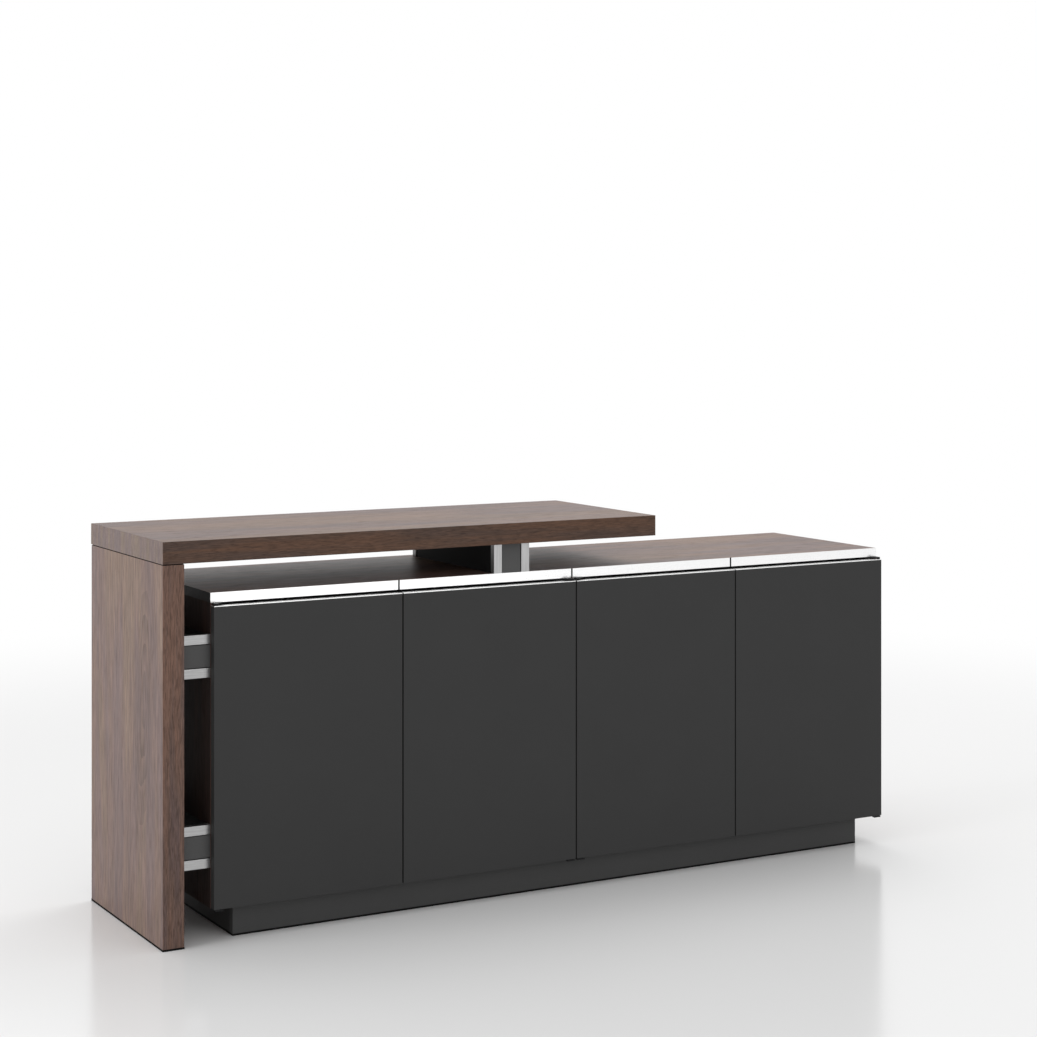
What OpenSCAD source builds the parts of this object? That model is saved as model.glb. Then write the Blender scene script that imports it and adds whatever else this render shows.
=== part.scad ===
// Long low office storage unit: a thick wooden bridge (one side panel and a cantilevered top)
// stands over and beside a four-door filing cabinet, tied to it by three boxed connectors.
// Millimetres. +X right, +Y back, +Z up. Origin on the floor under the middle of the whole unit.

/* [Overall] */
// Width from the bridge's left edge to the cabinet's right side
overall_width = 2000; // [1900:1:2100]
// Depth of the bridge top, the deepest part
overall_depth = 490; // [480:1:520]
// Height of the bridge top above the floor
overall_height = 900; // [860:1:960]

/* [Bridge] */
// Length of the cantilevered bridge top
bridge_length = 1286; // [1200:1:1500]
// Thickness of the bridge top
bridge_thickness = 50; // [40:1:60]
// Thickness of the side panel under the bridge top
gable_thickness = 50; // [40:1:60]
// How far the side panel stands inside the edges of the bridge top
gable_inset = 1; // [0.5:0.5:2]
// Height of the shadow groove round the top of the side panel
seam_height = 2; // [1:0.5:3]
// Depth of that groove
seam_depth = 2; // [1:0.5:3]
// Thickness of the edging on the thick panels
edging_thickness = 2; // [1:0.5:3]
// Radius of the arrises of the edging, at most its thickness
edging_radius = 1.5; // [0.5:0.25:3]
// Diameter of the wooden dowels
dowel_diameter = 8; // [6:1:10]
// Length of the wooden dowels
dowel_length = 30; // [24:1:34]

/* [Connectors] */
// Clear gap that the connectors span, to the side and above the cabinet
connector_length = 72; // [60:1:90]
// Width of a connector seen from the front
connector_width = 97; // [90:1:110]
// Depth of a connector from front to back
connector_depth = 435; // [400:1:440]
// Visible face of the aluminium corner profile
profile_face = 22; // [18:1:26]
// Depth of the aluminium corner profile
profile_depth = 17; // [14:1:20]
// Wall of the corner profile
profile_wall = 2; // [1.5:0.5:2.5]
// Sheet thickness of the connector sleeve
sleeve_wall = 2; // [1.5:0.5:2.5]
// How far the dark sleeve lies behind the faces of the corner profiles
sleeve_recess = 2; // [1:0.5:3]
// Shadow gap between the front panel of the sleeve and the profiles
shadow_gap = 1.5; // [1:0.5:2]
// Left face of the post, from the left end of the bridge
post_position = 845; // [780:1:900]
// Underside of the lower side connector above the floor
lower_connector_height = 164; // [140:1:200]
// Underside of the upper side connector above the floor
upper_connector_height = 589; // [540:1:600]

/* [Cabinet] */
// Distance of the cabinet front behind the front of the bridge top
cabinet_setback = 29; // [28:1:34]
// Depth of the cabinet carcass
cabinet_depth = 460; // [440:1:460]
// Thickness of the sides, bottom and partition
board_thickness = 18; // [18:1:22]
// Thickness of the cabinet top board
top_thickness = 22; // [21:1:25]
// Thickness of the back panels
back_thickness = 6; // [4:1:8]
// Depth of the grooves that hold the back panels
groove_depth = 6; // [4:1:7]
// Inset of the back panels from the rear edge
back_inset = 12; // [8:1:20]
// Thickness of the shelves
shelf_thickness = 22; // [18:1:25]
// Row of peg holes that carries the shelves, counted from the lowest
shelf_row = 5; // [1:1:9]
// Diameter of the shelf pegs
peg_diameter = 5; // [4:0.5:6]
// Spacing of the peg holes
peg_pitch = 32; // [25:1:40]

/* [Finger slot] */
// Thickness of the aluminium strip on the front edge of the cabinet top
strip_thickness = 2; // [1.5:0.5:2.5]
// Thickness of the rib that holds the strip in the edge of the board
rib_thickness = 2; // [1.5:0.5:2.5]
// Depth of the rib in the board
rib_depth = 9; // [7:1:11]
// Depth of the finger recess behind the carcass front
recess_depth = 17; // [15:1:20]
// Height of the finger recess under the cabinet top
recess_height = 15; // [12:1:18]

/* [Plinth] */
// Height from the floor to the underside of the carcass
plinth_height = 73; // [60:1:90]
// Inset of the plinth from the cabinet sides
plinth_side_inset = 59; // [40:1:80]
// Inset of the plinth from the cabinet front and back
plinth_front_inset = 15; // [15:1:25]
// Height of the foot strips under the plinth and the side panel
foot_height = 3; // [2:0.5:5]
// Inset of the foot strips from the faces of the boards above them
foot_inset = 1.5; // [0.5:0.5:3]

/* [Doors] */
// Thickness of the doors with their edging
door_thickness = 20; // [19:0.5:22]
// Gap between neighbouring doors
door_gap = 3; // [3:0.5:4]
// Gap between the backs of the doors and the carcass
door_standoff = 2; // [2:0.5:3]
// Gap between the top of a door and the strip above it
door_top_gap = 5.5; // [5:0.5:7]
// Gap between the bottom of a door and the underside of the carcass
door_bottom_gap = 1.5; // [1:0.5:3]
// Radius of the upright edges of the doors
door_edge_radius = 1; // [0.8:0.1:2]
// Thickness of the aluminium cap on the top edge of a door
cap_thickness = 1.5; // [1:0.25:2]

/* [Pivots] */
// Distance of the pivot axis from the outer edge of the door
pivot_from_edge = 7; // [7:0.25:8]
// Distance of the pivot axis from the front face of the door
pivot_from_front = 5; // [5:0.1:5.4]
// Diameter of the pivot pins
pin_diameter = 5; // [4:0.5:5]
// Radial clearance of the pin in its bush
running_clearance = 0.04; // [0.02:0.01:0.1]
// Wall of the nylon bush
bush_wall = 0.8; // [0.6:0.1:1]
// Width of the bush flange around the bush
flange_width = 1.3; // [1:0.1:1.3]
// Thickness of the steel brackets on the carcass
bracket_thickness = 3; // [2:0.5:3]
// Thickness of the steel plates let into the door edges
plate_thickness = 2.5; // [2:0.5:3]
// Radius on which the stop stud runs
stop_radius = 11; // [10.5:0.25:11.25]
// Diameter of the stop stud
stop_diameter = 4; // [3:0.5:4]
// Opening angle at which the stop stud meets the end of its slot
opening_angle = 90; // [70:1:90]

/* [Hidden] */
fine = 48;
small = 24;
fit_gap = 0.05;
pocket_gap = 0.2;
free_gap = 0.3;
end_margin = 60;
arris = min(edging_radius, edging_thickness - 0.2);
foot_corner = 3;
plinth_nail_inset = 40;
nail_radius = 1.5;
nail_length = 12;
floor_to_bridge = overall_height - bridge_thickness;
gable_height = floor_to_bridge - foot_height;
gable_right = gable_inset + gable_thickness;
connector_front = cabinet_setback;
cabinet_left = gable_right + connector_length;
cabinet_right = overall_width;
cabinet_width = cabinet_right - cabinet_left;
cabinet_front = cabinet_setback;
cabinet_back = cabinet_setback + cabinet_depth;
cabinet_top_z = floor_to_bridge - connector_length;
side_top_z = cabinet_top_z - top_thickness;
rib_below_top = 5;
rib_end_margin = 20;
rib_z = cabinet_top_z - rib_below_top - rib_thickness;
side_height = side_top_z - plinth_height;
floor_board_top = plinth_height + board_thickness;
rail_top_z = side_top_z - recess_height;
rail_bottom_z = rail_top_z - board_thickness;
rail_middle_z = rail_top_z - board_thickness / 2;
rail_screw_length = board_thickness + recess_height + 12;
door_width = (cabinet_width - 3 * door_gap) / 4;
door_pitch = door_width + door_gap;
door_front = cabinet_front - door_standoff - door_thickness;
door_back = door_front + door_thickness;
door_top_z = side_top_z - door_top_gap;
door_bottom_z = plinth_height + door_bottom_gap;
panel_top_z = door_top_z - cap_thickness;
partition_middle = cabinet_left + 2 * door_pitch - door_gap / 2;
partition_left = partition_middle - board_thickness / 2;
inner_left = cabinet_left + board_thickness;
inner_right = cabinet_right - board_thickness;
bay_width = partition_left - inner_left;
back_panel_y = cabinet_back - back_inset - back_thickness;
board_play = 1;
shelf_setback = 20;
shelf_depth = back_panel_y - cabinet_front - shelf_setback - board_play;
peg_depth = 7;
peg_rows = 9;
peg_collar = peg_diameter + 4;
peg_collar_thickness = 0.8;
peg_tongue = 9;
peg_flat = 0.7;
lowest_peg_height = 180;
peg_line_inset = 57;
peg_first_z = floor_board_top + lowest_peg_height;
shelf_z = peg_first_z + (shelf_row - 1) * peg_pitch + peg_diameter / 2;
peg_front_y = cabinet_front + peg_line_inset;
peg_back_y = back_panel_y - peg_line_inset;
plinth_board = 18;
plinth_left = cabinet_left + plinth_side_inset;
plinth_right = cabinet_right - plinth_side_inset;
plinth_front_y = cabinet_front + plinth_front_inset;
plinth_back_y = cabinet_back - plinth_front_inset;
pin_radius = pin_diameter / 2;
bush_inner = pin_radius + running_clearance;
bush_outer = bush_inner + bush_wall;
flange_radius = bush_outer + flange_width;
flange_gap = free_gap;
pivot_y = door_front + pivot_from_front;
sleeve_below = 6;
top_sleeve_length = cap_thickness + plate_thickness + sleeve_below;
bottom_sleeve_length = plate_thickness + sleeve_below;
boss_radius = pivot_from_front - free_gap;
slot_half = stop_diameter / 2 + 0.4;
stop_angle_closed = 94;
sector_radius = stop_radius + slot_half + 2.6;
wedge_reach = 3 * sector_radius;
bracket_length = 53;
bracket_left = -5;
bracket_screw_margin = 8;
bracket_end_margin = 6;
top_strip_y0 = cabinet_front + strip_thickness - pivot_y;
top_strip_y1 = cabinet_front + recess_depth - pivot_y - free_gap;
arm_x = board_thickness - pivot_from_edge + free_gap;
arm_y = cabinet_front - pivot_y - free_gap;
arm_width = 16;
bottom_strip_y0 = cabinet_front - pivot_y + 1;
bottom_strip_y1 = plinth_front_y - pivot_y - 1;
plate_length = 44;
plate_edge = 1.5;
screw_shank = 3.5;
screw_head = 6.5;
screw_cone = 1.6;
board_screw_length = 15;
door_screw_length = 25;
strike_screw = 2.5;
strike_head = 5;
strike_screw_length = 14;
sleeve_screw = 4;
sleeve_head = 7.5;
sleeve_screw_length = 16;
sleeve_screw_spread = 15;
sleeve_screw_inset = 34;
sleeve_flange_side = 16;
sleeve_flange_end = 50;
catch_width = 60;
catch_depth = 15;
catch_height = 12;
catch_peg_radius = 2.5;
catch_peg_length = 8;
catch_peg_spread = 20;
strike_width = 20;
strike_height = 10;
strike_thickness = door_standoff - free_gap;
bumper_diameter = 8;
bumper_thickness = door_standoff - free_gap;
bumper_inset = 40;
strike_inset = 14;
stud_recess = 0.4;
hinge_sides = [0, 1, 0, 1];

// Moves a piece laid out from the front left floor corner into the shared frame.
module placed() {
  translate([-overall_width / 2, -overall_depth / 2, 0]) children();
}

// A box from its lowest corner and its size.
module slab(corner, size) {
  translate(corner) cube(size);
}

// Flat outline with round corners, from true arcs.
module rounded_rect(w, d, r) {
  union() {
    translate([r, 0]) square([w - 2 * r, d]);
    translate([0, r]) square([w, d - 2 * r]);
    for (x = [r, w - r], y = [r, d - r]) translate([x, y]) circle(r = r, $fn = small);
  }
}

// Block with all its edges rounded, from its lowest corner and its size.
module rounded_block(corner, size, r) {
  translate(corner) intersection() {
    linear_extrude(height = size[2]) rounded_rect(size[0], size[1], r);
    translate([0, size[1], 0]) rotate([90, 0, 0]) {
      linear_extrude(height = size[1]) rounded_rect(size[0], size[2], r);
    }
    rotate([90, 0, 90]) linear_extrude(height = size[0]) rounded_rect(size[1], size[2], r);
  }
}

// Countersunk screw pointing down, its head face at z = 0.
module csk_screw(shank, head, length) {
  union() {
    translate([0, 0, -screw_cone]) cylinder(d1 = shank, d2 = head, h = screw_cone, $fn = small);
    translate([0, 0, -length]) cylinder(d = shank, h = length - screw_cone, $fn = small);
  }
}

// The room a countersunk screw needs, a little larger than the screw.
module csk_hole(shank, head, length) {
  union() {
    translate([0, 0, -screw_cone]) {
      cylinder(d1 = shank + 2 * fit_gap, d2 = head + 2 * fit_gap, h = screw_cone + 0.01, $fn = small);
    }
    translate([0, 0, -length - 0.5]) {
      cylinder(d = shank + 2 * fit_gap, h = length - screw_cone + 0.51, $fn = small);
    }
  }
}

// Bridge

dowel_rows = [end_margin, overall_depth / 2 - end_margin, overall_depth / 2 + end_margin,
    overall_depth - end_margin];
dowel_reach = dowel_length / 2;

// Holes or dowels between the side panel and the bridge top.
module gable_dowel_set(extra, over) {
  for (y = dowel_rows) {
    translate([gable_inset + gable_thickness / 2, y, floor_to_bridge - dowel_reach - over]) {
      cylinder(d = dowel_diameter + 2 * extra, h = dowel_length + 2 * over, $fn = small);
    }
  }
}

module bridge_top() {
  color([0.62, 0.55, 0.50]) placed() difference() {
    slab([edging_thickness, edging_thickness, floor_to_bridge],
        [bridge_length - 2 * edging_thickness, overall_depth - 2 * edging_thickness, bridge_thickness]);
    gable_dowel_set(fit_gap, 1);
    post_fixings(true);
  }
}

module bridge_top_edging() {
  color([0.40, 0.30, 0.26]) placed() difference() {
    rounded_block([0, 0, floor_to_bridge], [bridge_length, overall_depth, bridge_thickness], arris);
    slab([edging_thickness, edging_thickness, floor_to_bridge - 1],
        [bridge_length - 2 * edging_thickness, overall_depth - 2 * edging_thickness, bridge_thickness + 2]);
  }
}

gable_front = gable_inset;
gable_depth = overall_depth - 2 * gable_inset;

module gable_panel() {
  run = gable_depth - 2 * edging_thickness;
  color([0.50, 0.43, 0.40]) placed() difference() {
    union() {
      slab([gable_inset, gable_front + edging_thickness, foot_height],
          [gable_thickness, run, gable_height - seam_height]);
      slab([gable_inset + seam_depth, gable_front + edging_thickness, floor_to_bridge - seam_height - 1],
          [gable_thickness - 2 * seam_depth, run, seam_height + 1]);
    }
    gable_dowel_set(fit_gap, 1);
    side_fixings(0);
    for (p = gable_nails) translate([p[0], p[1], 0]) nail_hole();
  }
}

module gable_edging() {
  color([0.40, 0.30, 0.26]) placed() translate([gable_inset, gable_front, foot_height]) {
    linear_extrude(height = gable_height - seam_height) difference() {
      rounded_rect(gable_thickness, gable_depth, arris);
      translate([-1, edging_thickness]) square([gable_thickness + 2, gable_depth - 2 * edging_thickness]);
    }
  }
}

gable_nails = [for (y = [end_margin, overall_depth / 2, overall_depth - end_margin])
    [gable_inset + gable_thickness / 2, y]];

// Strip on the floor under an upright board, set in from the faces of the board.
module foot_strip(x, y, w, d) {
  translate([x + foot_inset, y + foot_inset, 0]) linear_extrude(height = foot_height) {
    rounded_rect(w - 2 * foot_inset, d - 2 * foot_inset, foot_corner);
  }
}

// Nail that holds a foot strip to the board above it.
module nail() {
  translate([0, 0, foot_height - 0.5]) cylinder(r = nail_radius, h = nail_length + 0.5, $fn = small);
}

// The hole for that nail.
module nail_hole() {
  translate([0, 0, foot_height - 1]) cylinder(r = nail_radius + fit_gap, h = nail_length + 2, $fn = small);
}

module gable_foot_strip() {
  color([0.10, 0.10, 0.10]) placed() union() {
    foot_strip(gable_inset, gable_front, gable_thickness, gable_depth);
    for (p = gable_nails) translate([p[0], p[1], 0]) nail();
  }
}

module gable_dowels() {
  color([0.80, 0.65, 0.45]) placed() gable_dowel_set(0, 0);
}

// Connectors

// Stepped outline of the connector sleeve, set in from the profile faces by the given amount.
module sleeve_outline(set_in) {
  far_x = connector_width;
  far_y = connector_depth;
  side = sleeve_recess + set_in;
  step_x = profile_face + shadow_gap + set_in;
  step_y = profile_depth + set_in;
  polygon([[step_x, side], [far_x - step_x, side], [far_x - step_x, step_y],
      [far_x - side, step_y], [far_x - side, far_y - step_y], [far_x - step_x, far_y - step_y],
      [far_x - step_x, far_y - side], [step_x, far_y - side], [step_x, far_y - step_y],
      [side, far_y - step_y], [side, step_y], [step_x, step_y]]);
}

// Places of the four screws in each end flange of a connector.
sleeve_screws = [for (dx = [-sleeve_screw_spread, sleeve_screw_spread],
    y = [sleeve_screw_inset, connector_depth - sleeve_screw_inset]) [connector_width / 2 + dx, y]];

// Sheet steel sleeve with inward flanges at both ends, standing along z.
module connector_sleeve() {
  difference() {
    linear_extrude(height = connector_length) sleeve_outline(0);
    translate([0, 0, sleeve_wall]) {
      linear_extrude(height = connector_length - 2 * sleeve_wall) sleeve_outline(sleeve_wall);
    }
    translate([sleeve_flange_side, sleeve_flange_end, -1]) {
      cube([connector_width - 2 * sleeve_flange_side, connector_depth - 2 * sleeve_flange_end,
          connector_length + 2]);
    }
    for (p = sleeve_screws) {
      translate([p[0], p[1], sleeve_wall]) csk_hole(sleeve_screw, sleeve_head, sleeve_screw_length);
      translate([p[0], p[1], connector_length - sleeve_wall]) {
        mirror([0, 0, 1]) csk_hole(sleeve_screw, sleeve_head, sleeve_screw_length);
      }
    }
  }
}

// The four hollow aluminium corner profiles of one connector, standing along z.
module connector_profiles() {
  for (x = [0, connector_width - profile_face], y = [0, connector_depth - profile_depth]) {
    translate([x, y, 0]) linear_extrude(height = connector_length) difference() {
      rounded_rect(profile_face, profile_depth, 1);
      translate([profile_wall, profile_wall]) {
        square([profile_face - 2 * profile_wall, profile_depth - 2 * profile_wall]);
      }
    }
  }
}

// The screws of one connector, or the pilot holes for them. End 0 is the lower end, 1 the upper.
module connector_screw_set(holes, ends) {
  for (p = sleeve_screws, e = ends) {
    translate([p[0], p[1], e == 0 ? sleeve_wall : connector_length - sleeve_wall]) {
      mirror([0, 0, e]) {
        if (holes) csk_hole(sleeve_screw, sleeve_head, sleeve_screw_length);
        else csk_screw(sleeve_screw, sleeve_head, sleeve_screw_length);
      }
    }
  }
}

module at_post() {
  translate([post_position, connector_front, cabinet_top_z]) children();
}

// Lays a connector on its side between the side panel and the cabinet.
module at_side(z) {
  translate([gable_right, connector_front, z + connector_width]) rotate([0, 90, 0]) children();
}

module post_fixings(holes) {
  at_post() connector_screw_set(holes, [0, 1]);
}

// Pilot holes in the side panel (end 0) or in the cabinet side (end 1).
module side_fixings(end) {
  for (z = [lower_connector_height, upper_connector_height]) at_side(z) connector_screw_set(true, [end]);
}

module post_sleeve() {
  color([0.24, 0.24, 0.25]) placed() at_post() connector_sleeve();
}

module post_profiles() {
  color([0.80, 0.80, 0.81]) placed() at_post() connector_profiles();
}

module side_connector_sleeves() {
  color([0.24, 0.24, 0.25]) placed() {
    for (z = [lower_connector_height, upper_connector_height]) at_side(z) connector_sleeve();
  }
}

module side_connector_profiles() {
  color([0.80, 0.80, 0.81]) placed() {
    for (z = [lower_connector_height, upper_connector_height]) at_side(z) connector_profiles();
  }
}

module connector_screws() {
  color([0.60, 0.60, 0.62]) placed() {
    post_fixings(false);
    for (z = [lower_connector_height, upper_connector_height]) {
      at_side(z) connector_screw_set(false, [0, 1]);
    }
  }
}

// Carcass

side_dowel_rows = [cabinet_front + end_margin, cabinet_front + cabinet_depth / 2,
    cabinet_back - end_margin];
small_reach = 11;

// Upright dowels through the top board and the boards under it, or the holes for them.
module top_dowel_set(extra, over) {
  for (x = [cabinet_left + board_thickness / 2, partition_middle, cabinet_right - board_thickness / 2],
      y = side_dowel_rows) {
    translate([x, y, side_top_z - 2 * small_reach + 6 - over]) {
      cylinder(d = dowel_diameter + 2 * extra, h = 2 * small_reach + 6 + 2 * over, $fn = small);
    }
  }
}

// Level dowels that join the sides to the bottom board, and the upright ones under the partition.
module bottom_dowel_set(extra, over) {
  for (y = side_dowel_rows) {
    translate([inner_left - small_reach - over, y, plinth_height + board_thickness / 2]) {
      rotate([0, 90, 0]) {
        cylinder(d = dowel_diameter + 2 * extra, h = dowel_length + 2 * over, $fn = small);
      }
    }
    translate([inner_right + small_reach + over, y, plinth_height + board_thickness / 2]) {
      rotate([0, -90, 0]) {
        cylinder(d = dowel_diameter + 2 * extra, h = dowel_length + 2 * over, $fn = small);
      }
    }
    translate([partition_middle, y, floor_board_top - small_reach - over]) {
      cylinder(d = dowel_diameter + 2 * extra, h = dowel_length + 2 * over, $fn = small);
    }
  }
}

rail_dowel_y = [cabinet_front + 9, cabinet_front + recess_depth + board_thickness / 2];

// Level dowels that join the front rails to the sides and, right through it, to the partition.
module rail_dowel_set(extra, over) {
  reach = dowel_length - small_reach;
  for (y = rail_dowel_y) {
    translate([inner_left - small_reach - over, y, rail_middle_z]) rotate([0, 90, 0]) {
      cylinder(d = dowel_diameter + 2 * extra, h = dowel_length + 2 * over, $fn = small);
    }
    translate([inner_right + small_reach + over, y, rail_middle_z]) rotate([0, -90, 0]) {
      cylinder(d = dowel_diameter + 2 * extra, h = dowel_length + 2 * over, $fn = small);
    }
    translate([partition_left - reach - over, y, rail_middle_z]) rotate([0, 90, 0]) {
      cylinder(d = dowel_diameter + 2 * extra, h = board_thickness + 2 * reach + 2 * over, $fn = small);
    }
  }
}

module carcass_dowels() {
  color([0.80, 0.65, 0.45]) placed() {
    top_dowel_set(0, 0);
    bottom_dowel_set(0, 0);
    rail_dowel_set(0, 0);
  }
}

// Columns of blind holes for the shelf pegs, bored in the given direction along x.
module peg_holes(x, direction) {
  for (row = [0 : peg_rows - 1], y = [peg_front_y, peg_back_y]) {
    translate([x, y, peg_first_z + row * peg_pitch]) rotate([0, 90 * direction, 0]) {
      translate([0, 0, -0.01]) cylinder(d = peg_diameter + 2 * fit_gap, h = peg_depth + 0.51, $fn = small);
    }
  }
}

module left_side() {
  color([0.30, 0.24, 0.22]) placed() difference() {
    slab([cabinet_left, cabinet_front, plinth_height], [board_thickness, cabinet_depth, side_height]);
    slab([inner_left - groove_depth, back_panel_y - fit_gap, plinth_height + board_thickness - groove_depth],
        [groove_depth + 1, back_thickness + 2 * fit_gap, side_height]);
    top_dowel_set(fit_gap, 0.5);
    bottom_dowel_set(fit_gap, 0.5);
    rail_dowel_set(fit_gap, 0.5);
    side_fixings(1);
    peg_holes(inner_left, -1);
  }
}

module right_side() {
  color([0.30, 0.24, 0.22]) placed() difference() {
    slab([inner_right, cabinet_front, plinth_height], [board_thickness, cabinet_depth, side_height]);
    slab([inner_right - 1, back_panel_y - fit_gap, plinth_height + board_thickness - groove_depth],
        [groove_depth + 1, back_thickness + 2 * fit_gap, side_height]);
    top_dowel_set(fit_gap, 0.5);
    bottom_dowel_set(fit_gap, 0.5);
    rail_dowel_set(fit_gap, 0.5);
    peg_holes(inner_right, 1);
  }
}

module centre_partition() {
  color([0.45, 0.38, 0.35]) placed() difference() {
    slab([partition_left, cabinet_front, floor_board_top],
        [board_thickness, cabinet_depth, side_top_z - floor_board_top]);
    for (x = [partition_left - 1, partition_left + board_thickness - groove_depth]) {
      slab([x, back_panel_y - fit_gap, floor_board_top - 1],
          [groove_depth + 1, back_thickness + 2 * fit_gap, side_height]);
    }
    top_dowel_set(fit_gap, 0.5);
    bottom_dowel_set(fit_gap, 0.5);
    rail_dowel_set(fit_gap, 0.5);
    peg_holes(partition_left, 1);
    peg_holes(partition_left + board_thickness, -1);
  }
}

module cabinet_bottom() {
  color([0.45, 0.38, 0.35]) placed() difference() {
    slab([inner_left, cabinet_front, plinth_height],
        [inner_right - inner_left, cabinet_depth, board_thickness]);
    slab([inner_left - 1, back_panel_y - fit_gap, floor_board_top - groove_depth],
        [inner_right - inner_left + 2, back_thickness + 2 * fit_gap, groove_depth + 1]);
    bottom_dowel_set(fit_gap, 0.5);
    bracket_fixings(true, 0);
    catch_pegs(true);
  }
}

module cabinet_top() {
  color([0.60, 0.52, 0.47]) placed() difference() {
    slab([cabinet_left, cabinet_front + strip_thickness, side_top_z],
        [cabinet_width, cabinet_depth - strip_thickness, top_thickness]);
    slab([cabinet_left + rib_end_margin - 0.5, cabinet_front + strip_thickness - 1, rib_z - fit_gap],
        [cabinet_width - 2 * rib_end_margin + 1, rib_depth + 1.3, rib_thickness + 2 * fit_gap]);
    slab([inner_left - groove_depth, back_panel_y - fit_gap, side_top_z - 1],
        [inner_right - inner_left + 2 * groove_depth, back_thickness + 2 * fit_gap, groove_depth + 1]);
    top_dowel_set(fit_gap, 0.5);
    post_fixings(true);
    bracket_fixings(true, 1);
    rail_fixings(true);
  }
}

module cabinet_backs() {
  height = side_top_z - floor_board_top + 2 * groove_depth - 2 * board_play;
  color([0.55, 0.50, 0.46]) placed() {
    for (x = [inner_left, partition_left + board_thickness]) {
      slab([x - groove_depth + board_play, back_panel_y, floor_board_top - groove_depth + board_play],
          [bay_width + 2 * groove_depth - 2 * board_play, back_thickness, height]);
    }
  }
}

// Shelves

module shelf(x) {
  color([0.60, 0.52, 0.47]) placed() {
    slab([x + board_play, cabinet_front + shelf_setback, shelf_z],
        [bay_width - 2 * board_play, shelf_depth, shelf_thickness]);
  }
}

module shelf_left() {
  shelf(inner_left);
}

module shelf_right() {
  shelf(partition_left + board_thickness);
}

// Peg with a flat tongue for the shelf; the peg points along -x, the tongue along +x.
module shelf_peg() {
  union() {
    translate([-peg_depth, 0, 0]) rotate([0, 90, 0]) cylinder(d = peg_diameter, h = peg_depth, $fn = small);
    rotate([0, 90, 0]) cylinder(d = peg_collar, h = peg_collar_thickness, $fn = small);
    difference() {
      rotate([0, 90, 0]) cylinder(d = peg_diameter, h = peg_tongue, $fn = small);
      translate([peg_collar_thickness, -peg_diameter, peg_diameter / 2 - peg_flat]) {
        cube([peg_tongue + 1, 2 * peg_diameter, 2 * peg_flat]);
      }
    }
  }
}

module shelf_pegs() {
  color([0.75, 0.75, 0.77]) placed() {
    for (x = [inner_left, partition_left + board_thickness], y = [peg_front_y, peg_back_y]) {
      translate([x, y, shelf_z - peg_diameter / 2]) shelf_peg();
      translate([x + bay_width, y, shelf_z - peg_diameter / 2]) mirror([1, 0, 0]) shelf_peg();
    }
  }
}

// Finger slot

// One strip over each door; its rib stops short of the ends, so none of it shows.
module edge_strips() {
  color([0.86, 0.86, 0.87]) placed() {
    for (i = [0 : 3]) translate([cabinet_left + i * door_pitch, cabinet_front, 0]) union() {
      slab([0, 0, side_top_z], [door_width, strip_thickness, top_thickness]);
      slab([rib_end_margin, strip_thickness - 0.5, rib_z],
          [door_width - 2 * rib_end_margin, rib_depth + 0.5, rib_thickness]);
    }
  }
}

rail_screw_x = [end_margin, door_width / 2, door_width - end_margin];

// Screws up through each rail and recess board into the top board, or the holes for them.
module rail_fixings(holes) {
  for (i = [0 : 3], x = rail_screw_x) {
    translate([cabinet_left + i * door_pitch + x, cabinet_front + recess_depth + board_thickness / 2,
        rail_bottom_z]) {
      mirror([0, 0, 1]) {
        if (holes) csk_hole(screw_shank, screw_head, rail_screw_length);
        else csk_screw(screw_shank, screw_head, rail_screw_length);
      }
    }
  }
}

// Flat rail of each bay: the floor of the finger recess, and the stop that the doors close on.
module front_rails() {
  color([0.30, 0.30, 0.31]) placed() difference() {
    for (x = [inner_left, partition_left + board_thickness]) {
      slab([x, cabinet_front, rail_bottom_z], [bay_width, recess_depth + board_thickness, board_thickness]);
    }
    rail_dowel_set(fit_gap, 0.5);
    rail_fixings(true);
  }
}

// Strip of board on each rail that closes the finger recess off from the compartment.
module recess_boards() {
  color([0.30, 0.30, 0.31]) placed() difference() {
    for (x = [inner_left, partition_left + board_thickness]) {
      slab([x, cabinet_front + recess_depth, rail_top_z], [bay_width, board_thickness, recess_height]);
    }
    rail_fixings(true);
  }
}

module rail_screws() {
  color([0.60, 0.60, 0.62]) placed() rail_fixings(false);
}

// Plinth

module plinth_board(x, y, w, d) {
  slab([x, y, foot_height], [w, d, plinth_height - foot_height]);
}

plinth_run = plinth_back_y - plinth_front_y - 2 * plinth_board;
plinth_end_x = [plinth_left, partition_left, plinth_right - plinth_board];
plinth_nails = concat([for (x = [plinth_left + plinth_nail_inset, partition_middle,
    plinth_right - plinth_nail_inset],
    y = [plinth_front_y + plinth_board / 2, plinth_back_y - plinth_board / 2]) [x, y]],
    [for (x = plinth_end_x, dy = [-plinth_run / 4, plinth_run / 4])
    [x + plinth_board / 2, (plinth_front_y + plinth_back_y) / 2 + dy]]);

module plinth_nail_holes() {
  for (p = plinth_nails) translate([p[0], p[1], 0]) nail_hole();
}

module plinth_front() {
  color([0.27, 0.27, 0.27]) placed() difference() {
    plinth_board(plinth_left, plinth_front_y, plinth_right - plinth_left, plinth_board);
    plinth_nail_holes();
  }
}

module plinth_back() {
  color([0.27, 0.27, 0.27]) placed() difference() {
    plinth_board(plinth_left, plinth_back_y - plinth_board, plinth_right - plinth_left, plinth_board);
    plinth_nail_holes();
  }
}

module plinth_ends() {
  color([0.27, 0.27, 0.27]) placed() difference() {
    for (x = plinth_end_x) plinth_board(x, plinth_front_y + plinth_board, plinth_board, plinth_run);
    plinth_nail_holes();
  }
}

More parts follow.
